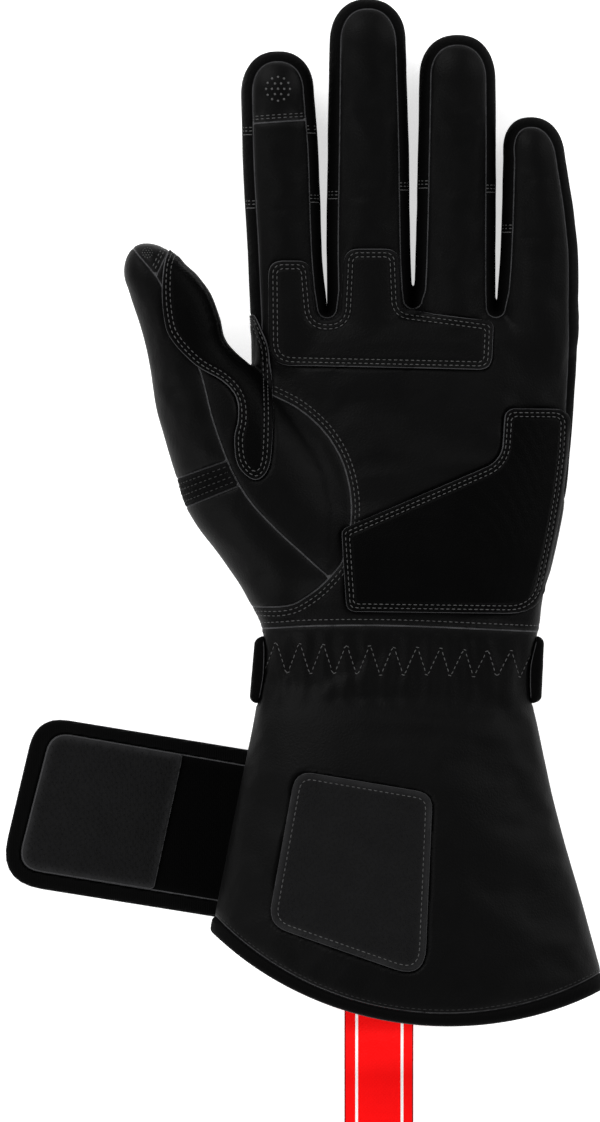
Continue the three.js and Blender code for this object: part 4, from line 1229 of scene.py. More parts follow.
# %% Rows dropped from above
ZIGZAG_TEETH, ZIGZAG_PITCH, ZIGZAG_START, ZIGZAG_FIRST = 11, 7.29, -12.6, -8.56
ZIGZAG_TOP, ZIGZAG_TOP_FALL, ZIGZAG_BOTTOM, ZIGZAG_BOTTOM_FALL = -20.5, -0.28, -31.1, -0.09
ZIGZAG_DOWN_SHARE, ZIGZAG_SHARE_FALL, ZIGZAG_END = 0.47, 0.01, (70.5, -24.5)
# The finger, its left (-1) or right (1) side, and the place along the glove.
MARKS = [("index", -1, 138.5), ("index", -1, 115.8), ("index", 1, 139), ("index", 1, 117.6),
         ("middle", -1, 118.7), ("middle", 1, 121.4), ("ring", -1, 122), ("ring", 1, 120.7),
         ("little", -1, 108.3)]
MARK_STEPS = (0, -1.05, -2.2)
MARK_INNER, MARK_OUTER = 2.9, 0.35
DROP_HEIGHT, DROP_STEP, MARK_DROP_STEP = 80, 0.4, 0.25
skin_tree = BVHTree.FromPolygons(skin_outside.tolist(), skin.triangles.tolist())


def skin_below(x, y):
    """The highest point of the skin at a place in plan, and its normal there."""
    return skin_tree.ray_cast(Vector((x, y, DROP_HEIGHT)), Vector((0, 0, -1)))[:2]


def dropped(line, step=DROP_STEP):
    """A line in plan, laid on the skin from above: points and normals."""
    spots, tops = [], []
    for start, end in zip(line, line[1:]):
        count = max(2, int(np.hypot(*(np.array(end) - start)) / step))
        for share in np.linspace(0, 1, count, endpoint=False):
            x, y = np.array(start) * (1 - share) + np.array(end) * share
            spot, top = skin_below(x, y)
            if spot is not None:
                spots.append(spot)
                tops.append(top)
    return smoothed_line(np.array(spots), np.array(tops), False, rounds=1)


zigzag = [(ZIGZAG_START, ZIGZAG_BOTTOM)]
for tooth in range(ZIGZAG_TEETH):
    x = ZIGZAG_FIRST + tooth * ZIGZAG_PITCH
    zigzag.append((x, ZIGZAG_TOP + tooth * ZIGZAG_TOP_FALL))
    down = ZIGZAG_PITCH * (ZIGZAG_DOWN_SHARE - tooth * ZIGZAG_SHARE_FALL)
    zigzag.append((x + down, ZIGZAG_BOTTOM + tooth * ZIGZAG_BOTTOM_FALL))
zigzag.append(ZIGZAG_END)
stitch_rows.append(("wrist elastic", *dropped(zigzag), False))
close_rows = []
for finger_name, side, along in MARKS:
    for number, step in enumerate(MARK_STEPS):
        y = along + step
        edges = columns_at(FINGER_COLUMNS, FINGERS[finger_name]["rows"], [y])
        edge = edges["left" if side < 0 else "right"][0]
        line = dropped([(edge - side * MARK_OUTER, y), (edge - side * MARK_INNER, y)], MARK_DROP_STEP)
        rows = close_rows if number == len(MARK_STEPS) - 1 else stitch_rows
        rows.append((finger_name, *line, False))
print(len(stitch_rows), "rows of stitches,", len(close_rows), "close rows")

# %% Sink the skin under its stitches
STITCH_DENT, STITCH_DENT_REACH = 0.2, 0.8
on_skin = np.concatenate([row[1] for row in stitch_rows + close_rows if row[0] not in PATCHES])
under_stitches = np.clip(1 - distance_to(on_skin, skin_outside) / STITCH_DENT_REACH, 0, 1)
skin_outside -= skin_normals * (STITCH_DENT * under_stitches * (1 - covered))[:, None]
print("share of the skin under stitches:", round(float((under_stitches > 0).mean()), 3))

# %% [markdown]
# Each panel becomes a solid of its own: its puffed outside, a plain inside one wall thickness
# deeper, and a rim that joins them along the cut edge.

# %% Solids from panels
WALL, HAND_WALL = 2.4, 1.6
PANEL_GAP, RIM_REACH = 0.03, 0.05
SHARP_ANGLE = math.radians(55)
INNER_DISTANCE = 50


def triangle_mesh(name, points, triangles):
    """A mesh object from arrays, in millimetres."""
    mesh = bpy.data.meshes.new(name)
    mesh.vertices.add(len(points))
    mesh.vertices.foreach_set("co", (points * MM).astype(np.float32).ravel())
    mesh.loops.add(triangles.size)
    mesh.loops.foreach_set("vertex_index", triangles.astype(np.int32).ravel())
    mesh.polygons.add(len(triangles))
    mesh.polygons.foreach_set("loop_start", np.arange(0, triangles.size, 3, dtype=np.int32))
    mesh.update(calc_edges=True)
    return in_scene(name, mesh)


def finish_mesh(made, edge_distance=None):
    """Smooth shading with sharp rims, and the distance to the cut edge kept on the points."""
    mesh = made.data
    mesh.polygons.foreach_set("use_smooth", np.ones(len(mesh.polygons), bool))
    mesh.set_sharp_from_angle(angle=SHARP_ANGLE)
    if edge_distance is not None:
        attribute = mesh.attributes.new("edge_distance", "FLOAT", "POINT")
        attribute.data.foreach_set("value", np.asarray(edge_distance, np.float32))
    mesh.update()
    return made


def solid_between(name, outside, inside, triangles, distance, gap=PANEL_GAP):
    """A closed piece between two surfaces with the same triangles. Inner faces get material 1."""
    local, outer, inner, near = only_used(triangles, outside, inside, distance)
    border = border_edges(local, len(outer))
    rim = np.unique(border)
    inward = (neighbour_mean(outer, edges_of(local), len(outer)) - outer)[rim]
    sewn_rim = (near[rim] < RIM_REACH)[:, None]
    outer[rim] += sewn_rim * gap * unit(inward)
    a, b = border.T
    lift = len(outer)
    faces = np.concatenate([local, np.stack([b, a, a + lift], 1), np.stack([b, a + lift, b + lift], 1),
                            local[:, ::-1] + lift])
    made = triangle_mesh(name, np.concatenate([outer, inner]), faces)
    lining = np.zeros(len(faces), np.int32)
    lining[-len(local):] = 1
    made.data.polygons.foreach_set("material_index", lining)
    return finish_mesh(made, np.concatenate([near, np.full(lift, INNER_DISTANCE)]))


pieces = {}
for name in sorted(set(skin.panel)):
    wall = WALL if name in CUFF_PANELS else HAND_WALL
    chosen = skin.triangles[skin.panel == name]
    pieces[name] = solid_between(name + "_sewn", skin_outside, skin.points - skin_normals * wall, chosen,
                                 seam_distance)
for name, (outside, inside, triangles, near) in patch_parts.items():
    pieces[name] = solid_between(name + "_sewn", outside, inside, triangles, near, gap=0)
for name, piece in pieces.items():
    print(piece.name, len(piece.data.polygons), "triangles")

# %% [markdown]
# ## Hem binding and wrist strap
#
# Both are bands that follow the skin: the binding wraps the edge of the mouth inside and out, and
# the strap lies round the back of the wrist. They are cut from the same skin and given a section
# that is rounded on both long sides, as a folded tape is.

# %% Bands
BINDING_PROUD = 0.55
BINDING_THICKNESS = WALL + 2 * BINDING_PROUD
STRAP_GAP, STRAP_EDGE, STRAP_CORNER, STRAP_EDGE_SHARE = 0.15, 2.0, 2.5, 0.1
STRAP_LEFT, STRAP_RIGHT = [(-15.2, -20.6), (-16.7, -37.5)], [(74.6, -21.5), (73.85, -37.5)]


def above_hem(points):
    return HEM_RADIUS - np.hypot(*(points[:, :2] - HEM_CENTRE).T)


def on_strap(points):
    middle, half = (STRAP_TOP + STRAP_BOTTOM) / 2, (STRAP_TOP - STRAP_BOTTOM) / 2
    across = np.maximum(np.abs(points[:, 1] - middle) - (half - STRAP_CORNER), 0)
    upward = np.maximum(STRAP_CORNER - (STRAP_ABOVE_BELT - above_belt(points)), 0)
    return STRAP_CORNER - np.hypot(across, upward)


def band(name, fields, low, high, edge_radius, rounds, base):
    """A band between two offsets from the base surface, rounded at its borders."""
    points, normals, triangles = patch_of(fields, rounds, base)
    near = distance_to(border_samples(points, triangles), points)
    share = rolled_edge(near, edge_radius)
    middle, half = (low + high) / 2, (high - low) / 2
    top = points + normals * (middle + half * share)[:, None]
    bottom = points + normals * (middle - half * share)[:, None]
    print(name, len(triangles), "triangles on one side")
    return top, bottom, triangles, near


def straight_side(line, y):
    """Where a straight line in plan stands at each y."""
    (x, start), (end_x, end) = line
    return x + (end_x - x) * (y - start) / (end - start)


def strap_parts():
    """The strap lies on the cuff inside, and its outer sides are pulled straight in plan."""
    points, normals, triangles = patch_of([on_strap], 1, UNCUT)
    near = distance_to(border_samples(points, triangles), points)
    x, y = points[:, 0], points[:, 1]
    cuff = columns_at(BODY_COLUMNS, BODY_ROWS, y)
    left = cuff["left"] - straight_side(STRAP_LEFT, y)
    right = straight_side(STRAP_RIGHT, y) - cuff["right"]
    across = np.clip((x - cuff["left"]) / (cuff["right"] - cuff["left"]), 0, 1)
    proud = left * (1 - across) + right * across - STRAP_GAP - SKIN_ALLOWANCE
    rise = proud * (1 - STRAP_EDGE_SHARE) * rolled_edge(near, STRAP_EDGE)
    top = points + normals * (STRAP_GAP + proud * STRAP_EDGE_SHARE + rise)[:, None]
    print("the strap stands", round(float(proud.min()), 2), "to", round(float(proud.max()), 2), "mm proud")
    return top, points + normals * STRAP_GAP, triangles, np.hypot(STRAP_ABOVE_BELT - above_belt(points), rise)


parts = band("hem binding", [lambda p: -above_binding(p), above_hem],
             BINDING_PROUD - BINDING_THICKNESS, BINDING_PROUD, BINDING_THICKNESS / 2, rounds=1, base=UNCUT)
pieces["hem_binding"] = solid_between("hem_binding_sewn", *parts, gap=0)
pieces["wrist_strap"] = solid_between("wrist_strap_sewn", *strap_parts(), gap=0)

# %% [markdown]
# ## Closing tab
#
# The tab is a flat layered strap: a core inside a bound edge, with a square of hook tape on top.
# It starts as a fine flat grid that is cut by the same outlines as the solids.

# %% Layers of the tab
TAB_OUTER_CORNERS = [(-83, -43.7, 10.8), (-95.2, -95.6, 13), (-4.5, -110.1, 0), (5.5, -58.2, 0)]
TAB_INNER_CORNERS = [(-78.4, -48.8, 6.8), (-89.2, -91.2, 6.8), (15.2, -108.3, 0), (23.4, -66.4, 0)]
HOOK_CORNERS = [(-78, -49.2, 6.5), (-88.7, -90.9, 6.5), (-46.7, -97.6, 1), (-37.7, -56.2, 1)]
TAB_CELL = 0.8
TAB_LOW, TAB_HIGH = (-94, -112), (25, -42)
CORE_TUCK, CORE_LINE, HOOK_TUCK = 0.5, 0.15, 0.2
BOUND_END_X, BOUND_END_Y, TAB_COSINE, TAB_SINE = -0.4, -84, 0.98, 0.19
# The bottom and top of each layer, and the radius of its edge.
TAB_LAYERS = {"strap_tab_binding": (0, 2.4, 0.8), "strap_tab_core": (0.05, 2.1, 0.3),
              "strap_tab_hook_pad": (2.3, 3.35, 0.45)}


def flat_grid(low, high, cell):
    across = np.arange(low[0], high[0], cell)
    along = np.arange(low[1], high[1], cell)
    x, y = np.meshgrid(across, along)
    points = np.stack([x.ravel(), y.ravel(), np.zeros(x.size)], 1)
    index = np.arange(x.size).reshape(x.shape)
    quad = (index[:-1, :-1], index[:-1, 1:], index[1:, 1:], index[1:, :-1])
    a, b, c, d = (corner.ravel() for corner in quad)
    return points, np.concatenate([np.stack([a, b, c], 1), np.stack([a, c, d], 1)])


def before_binding_end(points):
    """Positive where the edge of the tab is still bound, and negative under the cuff."""
    return BOUND_END_X - points[:, 0] * TAB_COSINE - (points[:, 1] - BOUND_END_Y) * TAB_SINE


tab_outer, tab_inner = rounded(TAB_OUTER_CORNERS), rounded(TAB_INNER_CORNERS)
hook_outline = rounded(HOOK_CORNERS)
TAB_FIELDS = {
    "strap_tab_binding": [inside_outline(tab_outer), lambda p: -plan_distance(p, tab_inner),
                          before_binding_end],
    "strap_tab_core": [lambda p: plan_distance(p, tab_inner) + CORE_TUCK],
    "strap_tab_hook_pad": [lambda p: plan_distance(p, hook_outline) + HOOK_TUCK],
}
grid_points, grid_triangles = flat_grid(TAB_LOW, TAB_HIGH, TAB_CELL)
on_line = plan_distance(grid_points, tab_inner) - CORE_LINE
tab_grid = split_triangles(grid_points, grid_triangles, on_line)[:2]
tab_tops = {}
for name, (low, high, edge_radius) in TAB_LAYERS.items():
    parts = list(band(name, TAB_FIELDS[name], low, high, edge_radius, rounds=0, base=tab_grid))
    if name == "strap_tab_core":
        parts[3] = np.abs(plan_distance(parts[0], tab_inner) - CORE_LINE)
    pieces[name] = solid_between(name + "_sewn", *parts, gap=0)
    tab_tops[name] = parts

# %% [markdown]
# ## Pull ribbon
#
# A loop to pull the glove on: one woven ribbon, folded in half, sewn inside the hem. It comes out
# of the mouth, bends down to the floor and lies there. The strip is swept along its own middle
# line, out, round the fold and back, and keeps a UV map in millimetres for its weave and stripes.

# %% Sweep the ribbon
RIBBON_WIDTH, RIBBON_THICKNESS, RIBBON_CENTRE = 21.4, 0.75, 23.4
RIBBON_PATH = [(-117, 7.6), (-136, 7.5), (-142.5, 6.6), (-147.5, 3.1), (-153, 1.05), (-160, 0.9),
               (-177.5, 0.9)]
RIBBON_LAYER_GAP, RIBBON_STEP, RIBBON_CURVE_STEPS = 0.1, 1.0, 24
RIBBON_COLUMNS, RIBBON_CORNER, RIBBON_EDGE_SHARE = 15, 0.2, 0.5
FOLD_POINTS, FOLD_ROOM = 9, 0.5


def length_along(line):
    return np.concatenate([[0], np.cumsum(np.linalg.norm(np.diff(line, axis=0), axis=1))])


def smooth_path(points, step):
    """Even steps along a smooth line through points."""
    line = curve_through(points, RIBBON_CURVE_STEPS)
    along = length_along(line)
    even = np.linspace(0, along[-1], int(along[-1] / step) + 1)
    return np.stack([np.interp(even, along, line[:, i]) for i in range(2)], 1)


def sideways(line, offset):
    direction = unit(np.gradient(line, axis=0))
    return line + offset * np.stack([-direction[:, 1], direction[:, 0]], 1)


layer = (RIBBON_THICKNESS + RIBBON_LAYER_GAP) / 2
ribbon_line = smooth_path(RIBBON_PATH, RIBBON_STEP)
turn = np.linspace(0, np.pi, FOLD_POINTS)[1:-1, None]
fold_centre = ribbon_line[-1] + (layer, 0)
ribbon_line = ribbon_line[ribbon_line[:, 0] > fold_centre[0] + FOLD_ROOM]
out, back = sideways(ribbon_line, -layer), sideways(ribbon_line, layer)[::-1]
fold = fold_centre + layer * np.concatenate([-np.sin(turn), np.cos(turn)], 1)
middle_line = np.concatenate([out, fold, back])


def swept_ribbon():
    across = np.linspace(-RIBBON_WIDTH / 2, RIBBON_WIDTH / 2, RIBBON_COLUMNS)
    thin = np.where(np.abs(across) < RIBBON_WIDTH / 2 - RIBBON_CORNER, 1, RIBBON_EDGE_SHARE)
    along = length_along(middle_line)
    rings, marks = [], []
    for side in (1, -1):
        line = sideways(middle_line, side * RIBBON_THICKNESS / 2)
        order = range(RIBBON_COLUMNS) if side > 0 else range(RIBBON_COLUMNS - 1, -1, -1)
        for column in order:
            spot = middle_line + (line - middle_line) * thin[column]
            x = np.full(len(spot), RIBBON_CENTRE + across[column])
            rings.append(np.stack([x, spot[:, 0], spot[:, 1]], 1))
            marks.append(np.stack([np.full(len(spot), across[column]), along], 1))
    rings, marks = np.stack(rings, 1), np.stack(marks, 1)
    rows, sides, _ = rings.shape
    points, uv = rings.reshape(-1, 3), marks.reshape(-1, 2)
    index = np.arange(rows * sides).reshape(rows, sides)
    a, b = index[:-1], np.roll(index, -1, axis=1)[:-1]
    c, d = np.roll(index, -1, axis=1)[1:], index[1:]
    walls = np.concatenate([np.stack(corners, -1).reshape(-1, 3) for corners in ((a, b, c), (a, c, d))])
    caps = []
    for row in (0, rows - 1):
        for k in range(RIBBON_COLUMNS - 1):
            quad = [index[row, k], index[row, k + 1], index[row, sides - 2 - k], index[row, sides - 1 - k]]
            quad = quad[::-1] if row == 0 else quad
            caps += [(quad[0], quad[1], quad[2]), (quad[0], quad[2], quad[3])]
    triangles = np.concatenate([walls, np.array(caps)])
    made = triangle_mesh("pull_ribbon_woven", points, triangles)
    layer_uv = made.data.uv_layers.new(name="ribbon")
    layer_uv.data.foreach_set("uv", (uv[triangles.ravel()] * MM).astype(np.float32).ravel())
    return made


ribbon = pieces["pull_ribbon"] = swept_ribbon()
top_face = max(ribbon.data.polygons, key=lambda face: face.center.z)
if top_face.normal.z < 0:
    ribbon.data.flip_normals()
finish_mesh(ribbon)

# %% [markdown]
# ## Stitches
#
# One stitch is a short plump dash of thread. Geometry Nodes lay it along every row: each row
# becomes a curve, the curve gets a point per stitch, and a dash is turned to follow the row and
# the surface. Lengths vary a little, as they do under a sewing machine's foot.

# %% A small helper for node trees
def node(tree, kind, settings=None, **inputs):
    """A new node. An input is a value, a socket or a node; _0 is input 0, and _ stands for a space."""
    made = tree.nodes.new(kind)
    for key, value in (settings or {}).items():
        setattr(made, key, value)
    for key, value in inputs.items():
        socket = made.inputs[int(key[1:])] if key[1:].isdigit() else made.inputs[key.replace("_", " ")]
        if isinstance(value, bpy.types.Node):
            value = value.outputs[0]
        if isinstance(value, bpy.types.NodeSocket):
            tree.links.new(value, socket)
        else:
            socket.default_value = value
    return made


def tree_with(name, kind, inputs, outputs):
    """A node tree with named sockets. Returns the tree, what it is given and what it results in."""
    tree = bpy.data.node_groups.new(name, kind)
    for in_out, sockets in (("INPUT", inputs), ("OUTPUT", outputs)):
        for socket_name, socket_type, *default in sockets:
            socket = tree.interface.new_socket(socket_name, in_out=in_out,
                                               socket_type="NodeSocket" + socket_type)
            if default:
                socket.default_value = default[0]
    return tree, tree.nodes.new("NodeGroupInput").outputs, tree.nodes.new("NodeGroupOutput").inputs


def math_node(tree, operation, *values):
    inputs = {f"_{number}": value for number, value in enumerate(values)}
    return node(tree, "ShaderNodeMath", {"operation": operation}, **inputs).outputs[0]


def finished(tree, result, geometry, finish):
    """The last steps of every field: real meshes, smooth shading and one material."""
    real = node(tree, "GeometryNodeRealizeInstances", Geometry=geometry)
    smooth = node(tree, "GeometryNodeSetShadeSmooth", Geometry=real)
    painted = node(tree, "GeometryNodeSetMaterial", Geometry=smooth, Material=finish)
    tree.links.new(painted.outputs[0], result[0])
    return tree


# %% The stitch tree
SEED = 7
STITCH_PITCH, STITCH_LENGTH = 1.76 * MM, 1.33 * MM
THREAD_WIDTH, THREAD_HEIGHT, THREAD_SINK = 0.34 * MM, 0.26 * MM, 0.08 * MM
SHORTEST_STITCH, LONGEST_STITCH = 0.9, 1.06


def stitch_tree():
    tree, given, result = tree_with("stitches along rows", "GeometryNodeTree", [
        ("Rows", "Geometry"), ("Pitch", "Float", STITCH_PITCH), ("Length", "Float", STITCH_LENGTH),
        ("Width", "Float", THREAD_WIDTH), ("Height", "Float", THREAD_HEIGHT), ("Sink", "Float", THREAD_SINK),
        ("Seed", "Int", SEED), ("Thread", "Material"),
    ], [("Stitches", "Geometry")])
    curve = node(tree, "GeometryNodeMeshToCurve", _0=given["Rows"])
    points = node(tree, "GeometryNodeResampleCurve", {"mode": "LENGTH"}, Curve=curve,
                  Length=given["Pitch"])
    up = node(tree, "GeometryNodeInputNamedAttribute", {"data_type": "FLOAT_VECTOR"}, Name="up")
    tangent = node(tree, "GeometryNodeInputTangent")
    turn = node(tree, "FunctionNodeAxesToRotation", {"primary_axis": "Z", "secondary_axis": "X"},
                _0=up, _1=tangent)
    dash = node(tree, "GeometryNodeMeshUVSphere", Segments=6, Rings=4, Radius=0.5)
    size = node(tree, "ShaderNodeCombineXYZ", X=given["Length"], Y=given["Width"], Z=given["Height"])
    vary = node(tree, "FunctionNodeRandomValue", {"data_type": "FLOAT"}, Seed=given["Seed"],
                _2=SHORTEST_STITCH, _3=LONGEST_STITCH)
    scaled = node(tree, "ShaderNodeVectorMath", {"operation": "SCALE"}, _0=size, Scale=vary.outputs[1])
    down = node(tree, "ShaderNodeVectorMath", {"operation": "SCALE"}, _0=up,
                Scale=math_node(tree, "MULTIPLY", given["Sink"], -1))
    sunk = node(tree, "GeometryNodeSetPosition", Geometry=points, Offset=down)
    placed = node(tree, "GeometryNodeInstanceOnPoints", Points=sunk, Instance=dash,
                  Rotation=turn, Scale=scaled)
    return finished(tree, result, placed, given["Thread"])


def rows_object(name, rows):
    """Rows as one mesh of edges, with the surface's direction kept on each point."""
    points, tops, edges, start = [], [], [], 0
    for _, spots, up, closed in rows:
        count = len(spots)
        points.append(spots)
        tops.append(up)
        edges += [(start + i, start + i + 1) for i in range(count - 1)]
        if closed:
            edges.append((start + count - 1, start))
        start += count
    mesh = bpy.data.meshes.new(name)
    mesh.from_pydata((np.concatenate(points) * MM).tolist(), edges, [])
    attribute = mesh.attributes.new("up", "FLOAT_VECTOR", "POINT")
    attribute.data.foreach_set("vector", np.concatenate(tops).astype(np.float32).ravel())
    return in_scene(name, mesh)


def grown(source, tree, values, name):
    """Runs a node tree on an object and returns its result as a plain mesh object."""
    modifier = source.modifiers.new("nodes", "NODES")
    modifier.node_group = tree
    sockets = {item.name: item.identifier for item in tree.interface.items_tree if item.in_out == "INPUT"}
    for key, value in values.items():
        modifier[sockets[key]] = value
    evaluated = source.evaluated_get(bpy.context.evaluated_depsgraph_get())
    mesh = bpy.data.meshes.new_from_object(evaluated)
    mesh.name = name
    bpy.data.objects.remove(source)
    print(name, len(mesh.polygons), "faces")
    return in_scene(name, mesh)


THREAD = bpy.data.materials.new("grey thread")
DARK_THREAD = bpy.data.materials.new("dark thread")
stitching = stitch_tree()
ON_INSERT, BESIDE_HEM = ["thumb_stretch_insert"], ["cuff_palm_panel"]
ON_PANELS = {row[0] for row in stitch_rows} - {*PATCHES, *ON_INSERT, *BESIDE_HEM}
HEM_THREAD_WIDTH, MARK_PITCH, MARK_THREAD_WIDTH = 0.22 * MM, 0.7 * MM, 0.3 * MM
MARK_VALUES = {"Thread": THREAD, "Pitch": MARK_PITCH, "Width": MARK_THREAD_WIDTH}
# The rows, the places whose rows are taken, and the inputs that differ from the tree's own.
STITCHES = {
    "stitches_patches": (stitch_rows, PATCHES, {"Thread": THREAD}),
    "stitches_panels": (stitch_rows, ON_PANELS, {"Thread": THREAD}),
    "stitches_insert": (stitch_rows, ON_INSERT, {"Thread": DARK_THREAD}),
    "stitches_hem": (stitch_rows, BESIDE_HEM, {"Thread": DARK_THREAD, "Width": HEM_THREAD_WIDTH}),
    "stitches_marks": (close_rows, FINGERS, MARK_VALUES),
}
extras = {}
for name, (rows, places_of_rows, values) in STITCHES.items():
    chosen = [row for row in rows if row[0] in places_of_rows]
    extras[name] = grown(rows_object(name + " rows", chosen), stitching, values, name)

# %% [markdown]
# ## Hook tape, loop tape and touch dots
#
# Hook tape is a field of tiny stiff hooks and loop tape a field of soft loops. Both are one small
# shape, spread evenly over the top of their patch with a fixed seed. The touch tips of index
# finger and thumb carry a small ring of raised dots as their mark.

# %% Scatter small shapes over a surface
TAPE_COLUMNS = ("top", "inset", "spacing", "height", "thickness", "arc_points", "arc_turn", "stretch")
TAPES = {
    "hooks": (tab_tops["strap_tab_hook_pad"], 0.9, 1.3, 0.5, 0.09, 5, 150, 2.0),
    "loops": (patch_parts["cuff_loop_patch"], 2.6, 1.1, 0.9, 0.05, 6, 180, 1.0),
}
MOST_PER_SQUARE_METRE = 3000000
ANY_WAY_ROUND = 3.14


def scatter_tree(name, tape):
    tree, given, result = tree_with(name, "GeometryNodeTree", [
        ("Surface", "Geometry"), ("Spacing", "Float", tape["spacing"] * MM),
        ("Height", "Float", tape["height"] * MM), ("Thickness", "Float", tape["thickness"] * MM),
        ("Seed", "Int", SEED), ("Finish", "Material"),
    ], [("Field", "Geometry")])
    height, seed = given["Height"], given["Seed"]
    spread = node(tree, "GeometryNodeDistributePointsOnFaces", {"distribute_method": "POISSON"},
                  Mesh=given["Surface"], Seed=seed, Distance_Min=given["Spacing"],
                  Density_Max=MOST_PER_SQUARE_METRE)
    line = node(tree, "GeometryNodeCurveArc", {"mode": "RADIUS"}, Resolution=tape["arc_points"], Radius=0.5,
                Start_Angle=0.0, Sweep_Angle=math.radians(tape["arc_turn"]))
    wire = node(tree, "GeometryNodeCurvePrimitiveCircle", {"mode": "RADIUS"}, Resolution=3,
                Radius=math_node(tree, "DIVIDE", given["Thickness"], height))
    bent = node(tree, "GeometryNodeCurveToMesh", _0=line, _1=wire)
    stood = node(tree, "GeometryNodeTransform", Geometry=bent, Rotation=(math.radians(90), 0, 0))
    spin = node(tree, "FunctionNodeRandomValue", {"data_type": "FLOAT"}, Seed=seed, _2=-ANY_WAY_ROUND,
                _3=ANY_WAY_ROUND)
    about = node(tree, "ShaderNodeCombineXYZ", Z=spin.outputs[1])
    turn = node(tree, "FunctionNodeEulerToRotation", _0=about)
    turned_about = node(tree, "FunctionNodeRotateRotation", {"rotation_space": "LOCAL"},
                        _0=spread.outputs["Rotation"], _1=turn)
    size = node(tree, "ShaderNodeCombineXYZ", X=height, Y=height,
                Z=math_node(tree, "MULTIPLY", height, tape["stretch"]))
    placed = node(tree, "GeometryNodeInstanceOnPoints", Points=spread.outputs["Points"], Instance=stood,
                  Rotation=turned_about, Scale=size)
    return finished(tree, result, placed, given["Finish"])


def top_surface(name, outside, triangles, near, inset):
    """The top of a patch, away from its border, as an object to scatter on."""
    kept = (near[triangles] > inset).all(1)
    local, points = only_used(triangles[kept], outside)
    return triangle_mesh(name, points, local)


HOOK_FINISH = bpy.data.materials.new("hooks and loops")
for name, row in TAPES.items():
    tape = dict(zip(TAPE_COLUMNS, row))
    outside, _, triangles, near = tape["top"]
    top = top_surface(name + " top", outside, triangles, near, tape["inset"])
    extras[name] = grown(top, scatter_tree(name, tape), {"Finish": HOOK_FINISH}, name)

# %% Touch dots
DOT_RINGS = [(0, 1), (1.9, 6), (3.7, 12)]
DOT_WIDTH, DOT_HEIGHT = 0.75, 0.4
TOUCH_CENTRES = [((-7.9, 150.4), 1.0), ((-48.3, 99.6), 0.42)]


def dot_rows():
    rows = []
    for (x, y), scale in TOUCH_CENTRES:
        for radius, count in DOT_RINGS:
            for k in range(count):
                angle = 2 * math.pi * k / count
                spot = (x + scale * radius * math.cos(angle), y + scale * radius * math.sin(angle))
                hit, top = skin_below(*spot)
                if hit is not None:
                    rows.append((hit, top, scale))
    return rows


def dot_tree():
    tree, given, result = tree_with("dots on points", "GeometryNodeTree", [
        ("Places", "Geometry"), ("Width", "Float", DOT_WIDTH * MM), ("Height", "Float", DOT_HEIGHT * MM),
        ("Finish", "Material"),
    ], [("Dots", "Geometry")])
    up = node(tree, "GeometryNodeInputNamedAttribute", {"data_type": "FLOAT_VECTOR"}, Name="up")
    share = node(tree, "GeometryNodeInputNamedAttribute", {"data_type": "FLOAT"}, Name="share")
    turn = node(tree, "FunctionNodeAlignRotationToVector", {"axis": "Z"}, Vector=up)
    dome = node(tree, "GeometryNodeMeshUVSphere", Segments=10, Rings=6, Radius=0.5)
    size = node(tree, "ShaderNodeCombineXYZ", X=given["Width"], Y=given["Width"], Z=given["Height"])
    scaled = node(tree, "ShaderNodeVectorMath", {"operation": "SCALE"}, _0=size, Scale=share)
    points = node(tree, "GeometryNodeMeshToPoints", Mesh=given["Places"])
    placed = node(tree, "GeometryNodeInstanceOnPoints", Points=points, Instance=dome,
                  Rotation=turn, Scale=scaled)
    return finished(tree, result, placed, given["Finish"])


DOT_RUBBER = bpy.data.materials.new("touch dots")
hits, tops, shares = zip(*dot_rows())
dots = rows_object("dot places", [("dots", np.array(hits), np.array(tops), False)])
dots.data.attributes.new("share", "FLOAT", "POINT").data.foreach_set("value", np.array(shares, np.float32))
extras["touch_dots"] = grown(dots, dot_tree(), {"Finish": DOT_RUBBER}, "touch_dots")

# %% [markdown]
# ## Shared effects
#
# The glove is black on black, so the eye reads it by texture: the grain of the leather, the weave
# of the cloth, and the thin paler line where a panel's edge is cut, with a painted highlight beside
# it that is mottled like wear. Each effect is one node group with named inputs, built once and
# placed in every material that needs it.

# %% Steps and blends
def soft_step(tree, value, start, end, low, high):
    """From low to high with soft ends, while the value goes from start to end."""
    return node(tree, "ShaderNodeMapRange", {"interpolation_type": "SMOOTHSTEP"}, Value=value,
                From_Min=start, From_Max=end, To_Min=low, To_Max=high).outputs[0]


def blend(tree, share, first, second):
    """A colour between two colours."""
    return node(tree, "ShaderNodeMix", {"data_type": "RGBA"}, _0=share, _6=first, _7=second).outputs[2]


# %% Leather grain
GRAIN_BEND = 0.6 * MM
PEBBLE_WIDTH, FINE_HEIGHT = 0.32, 0.45


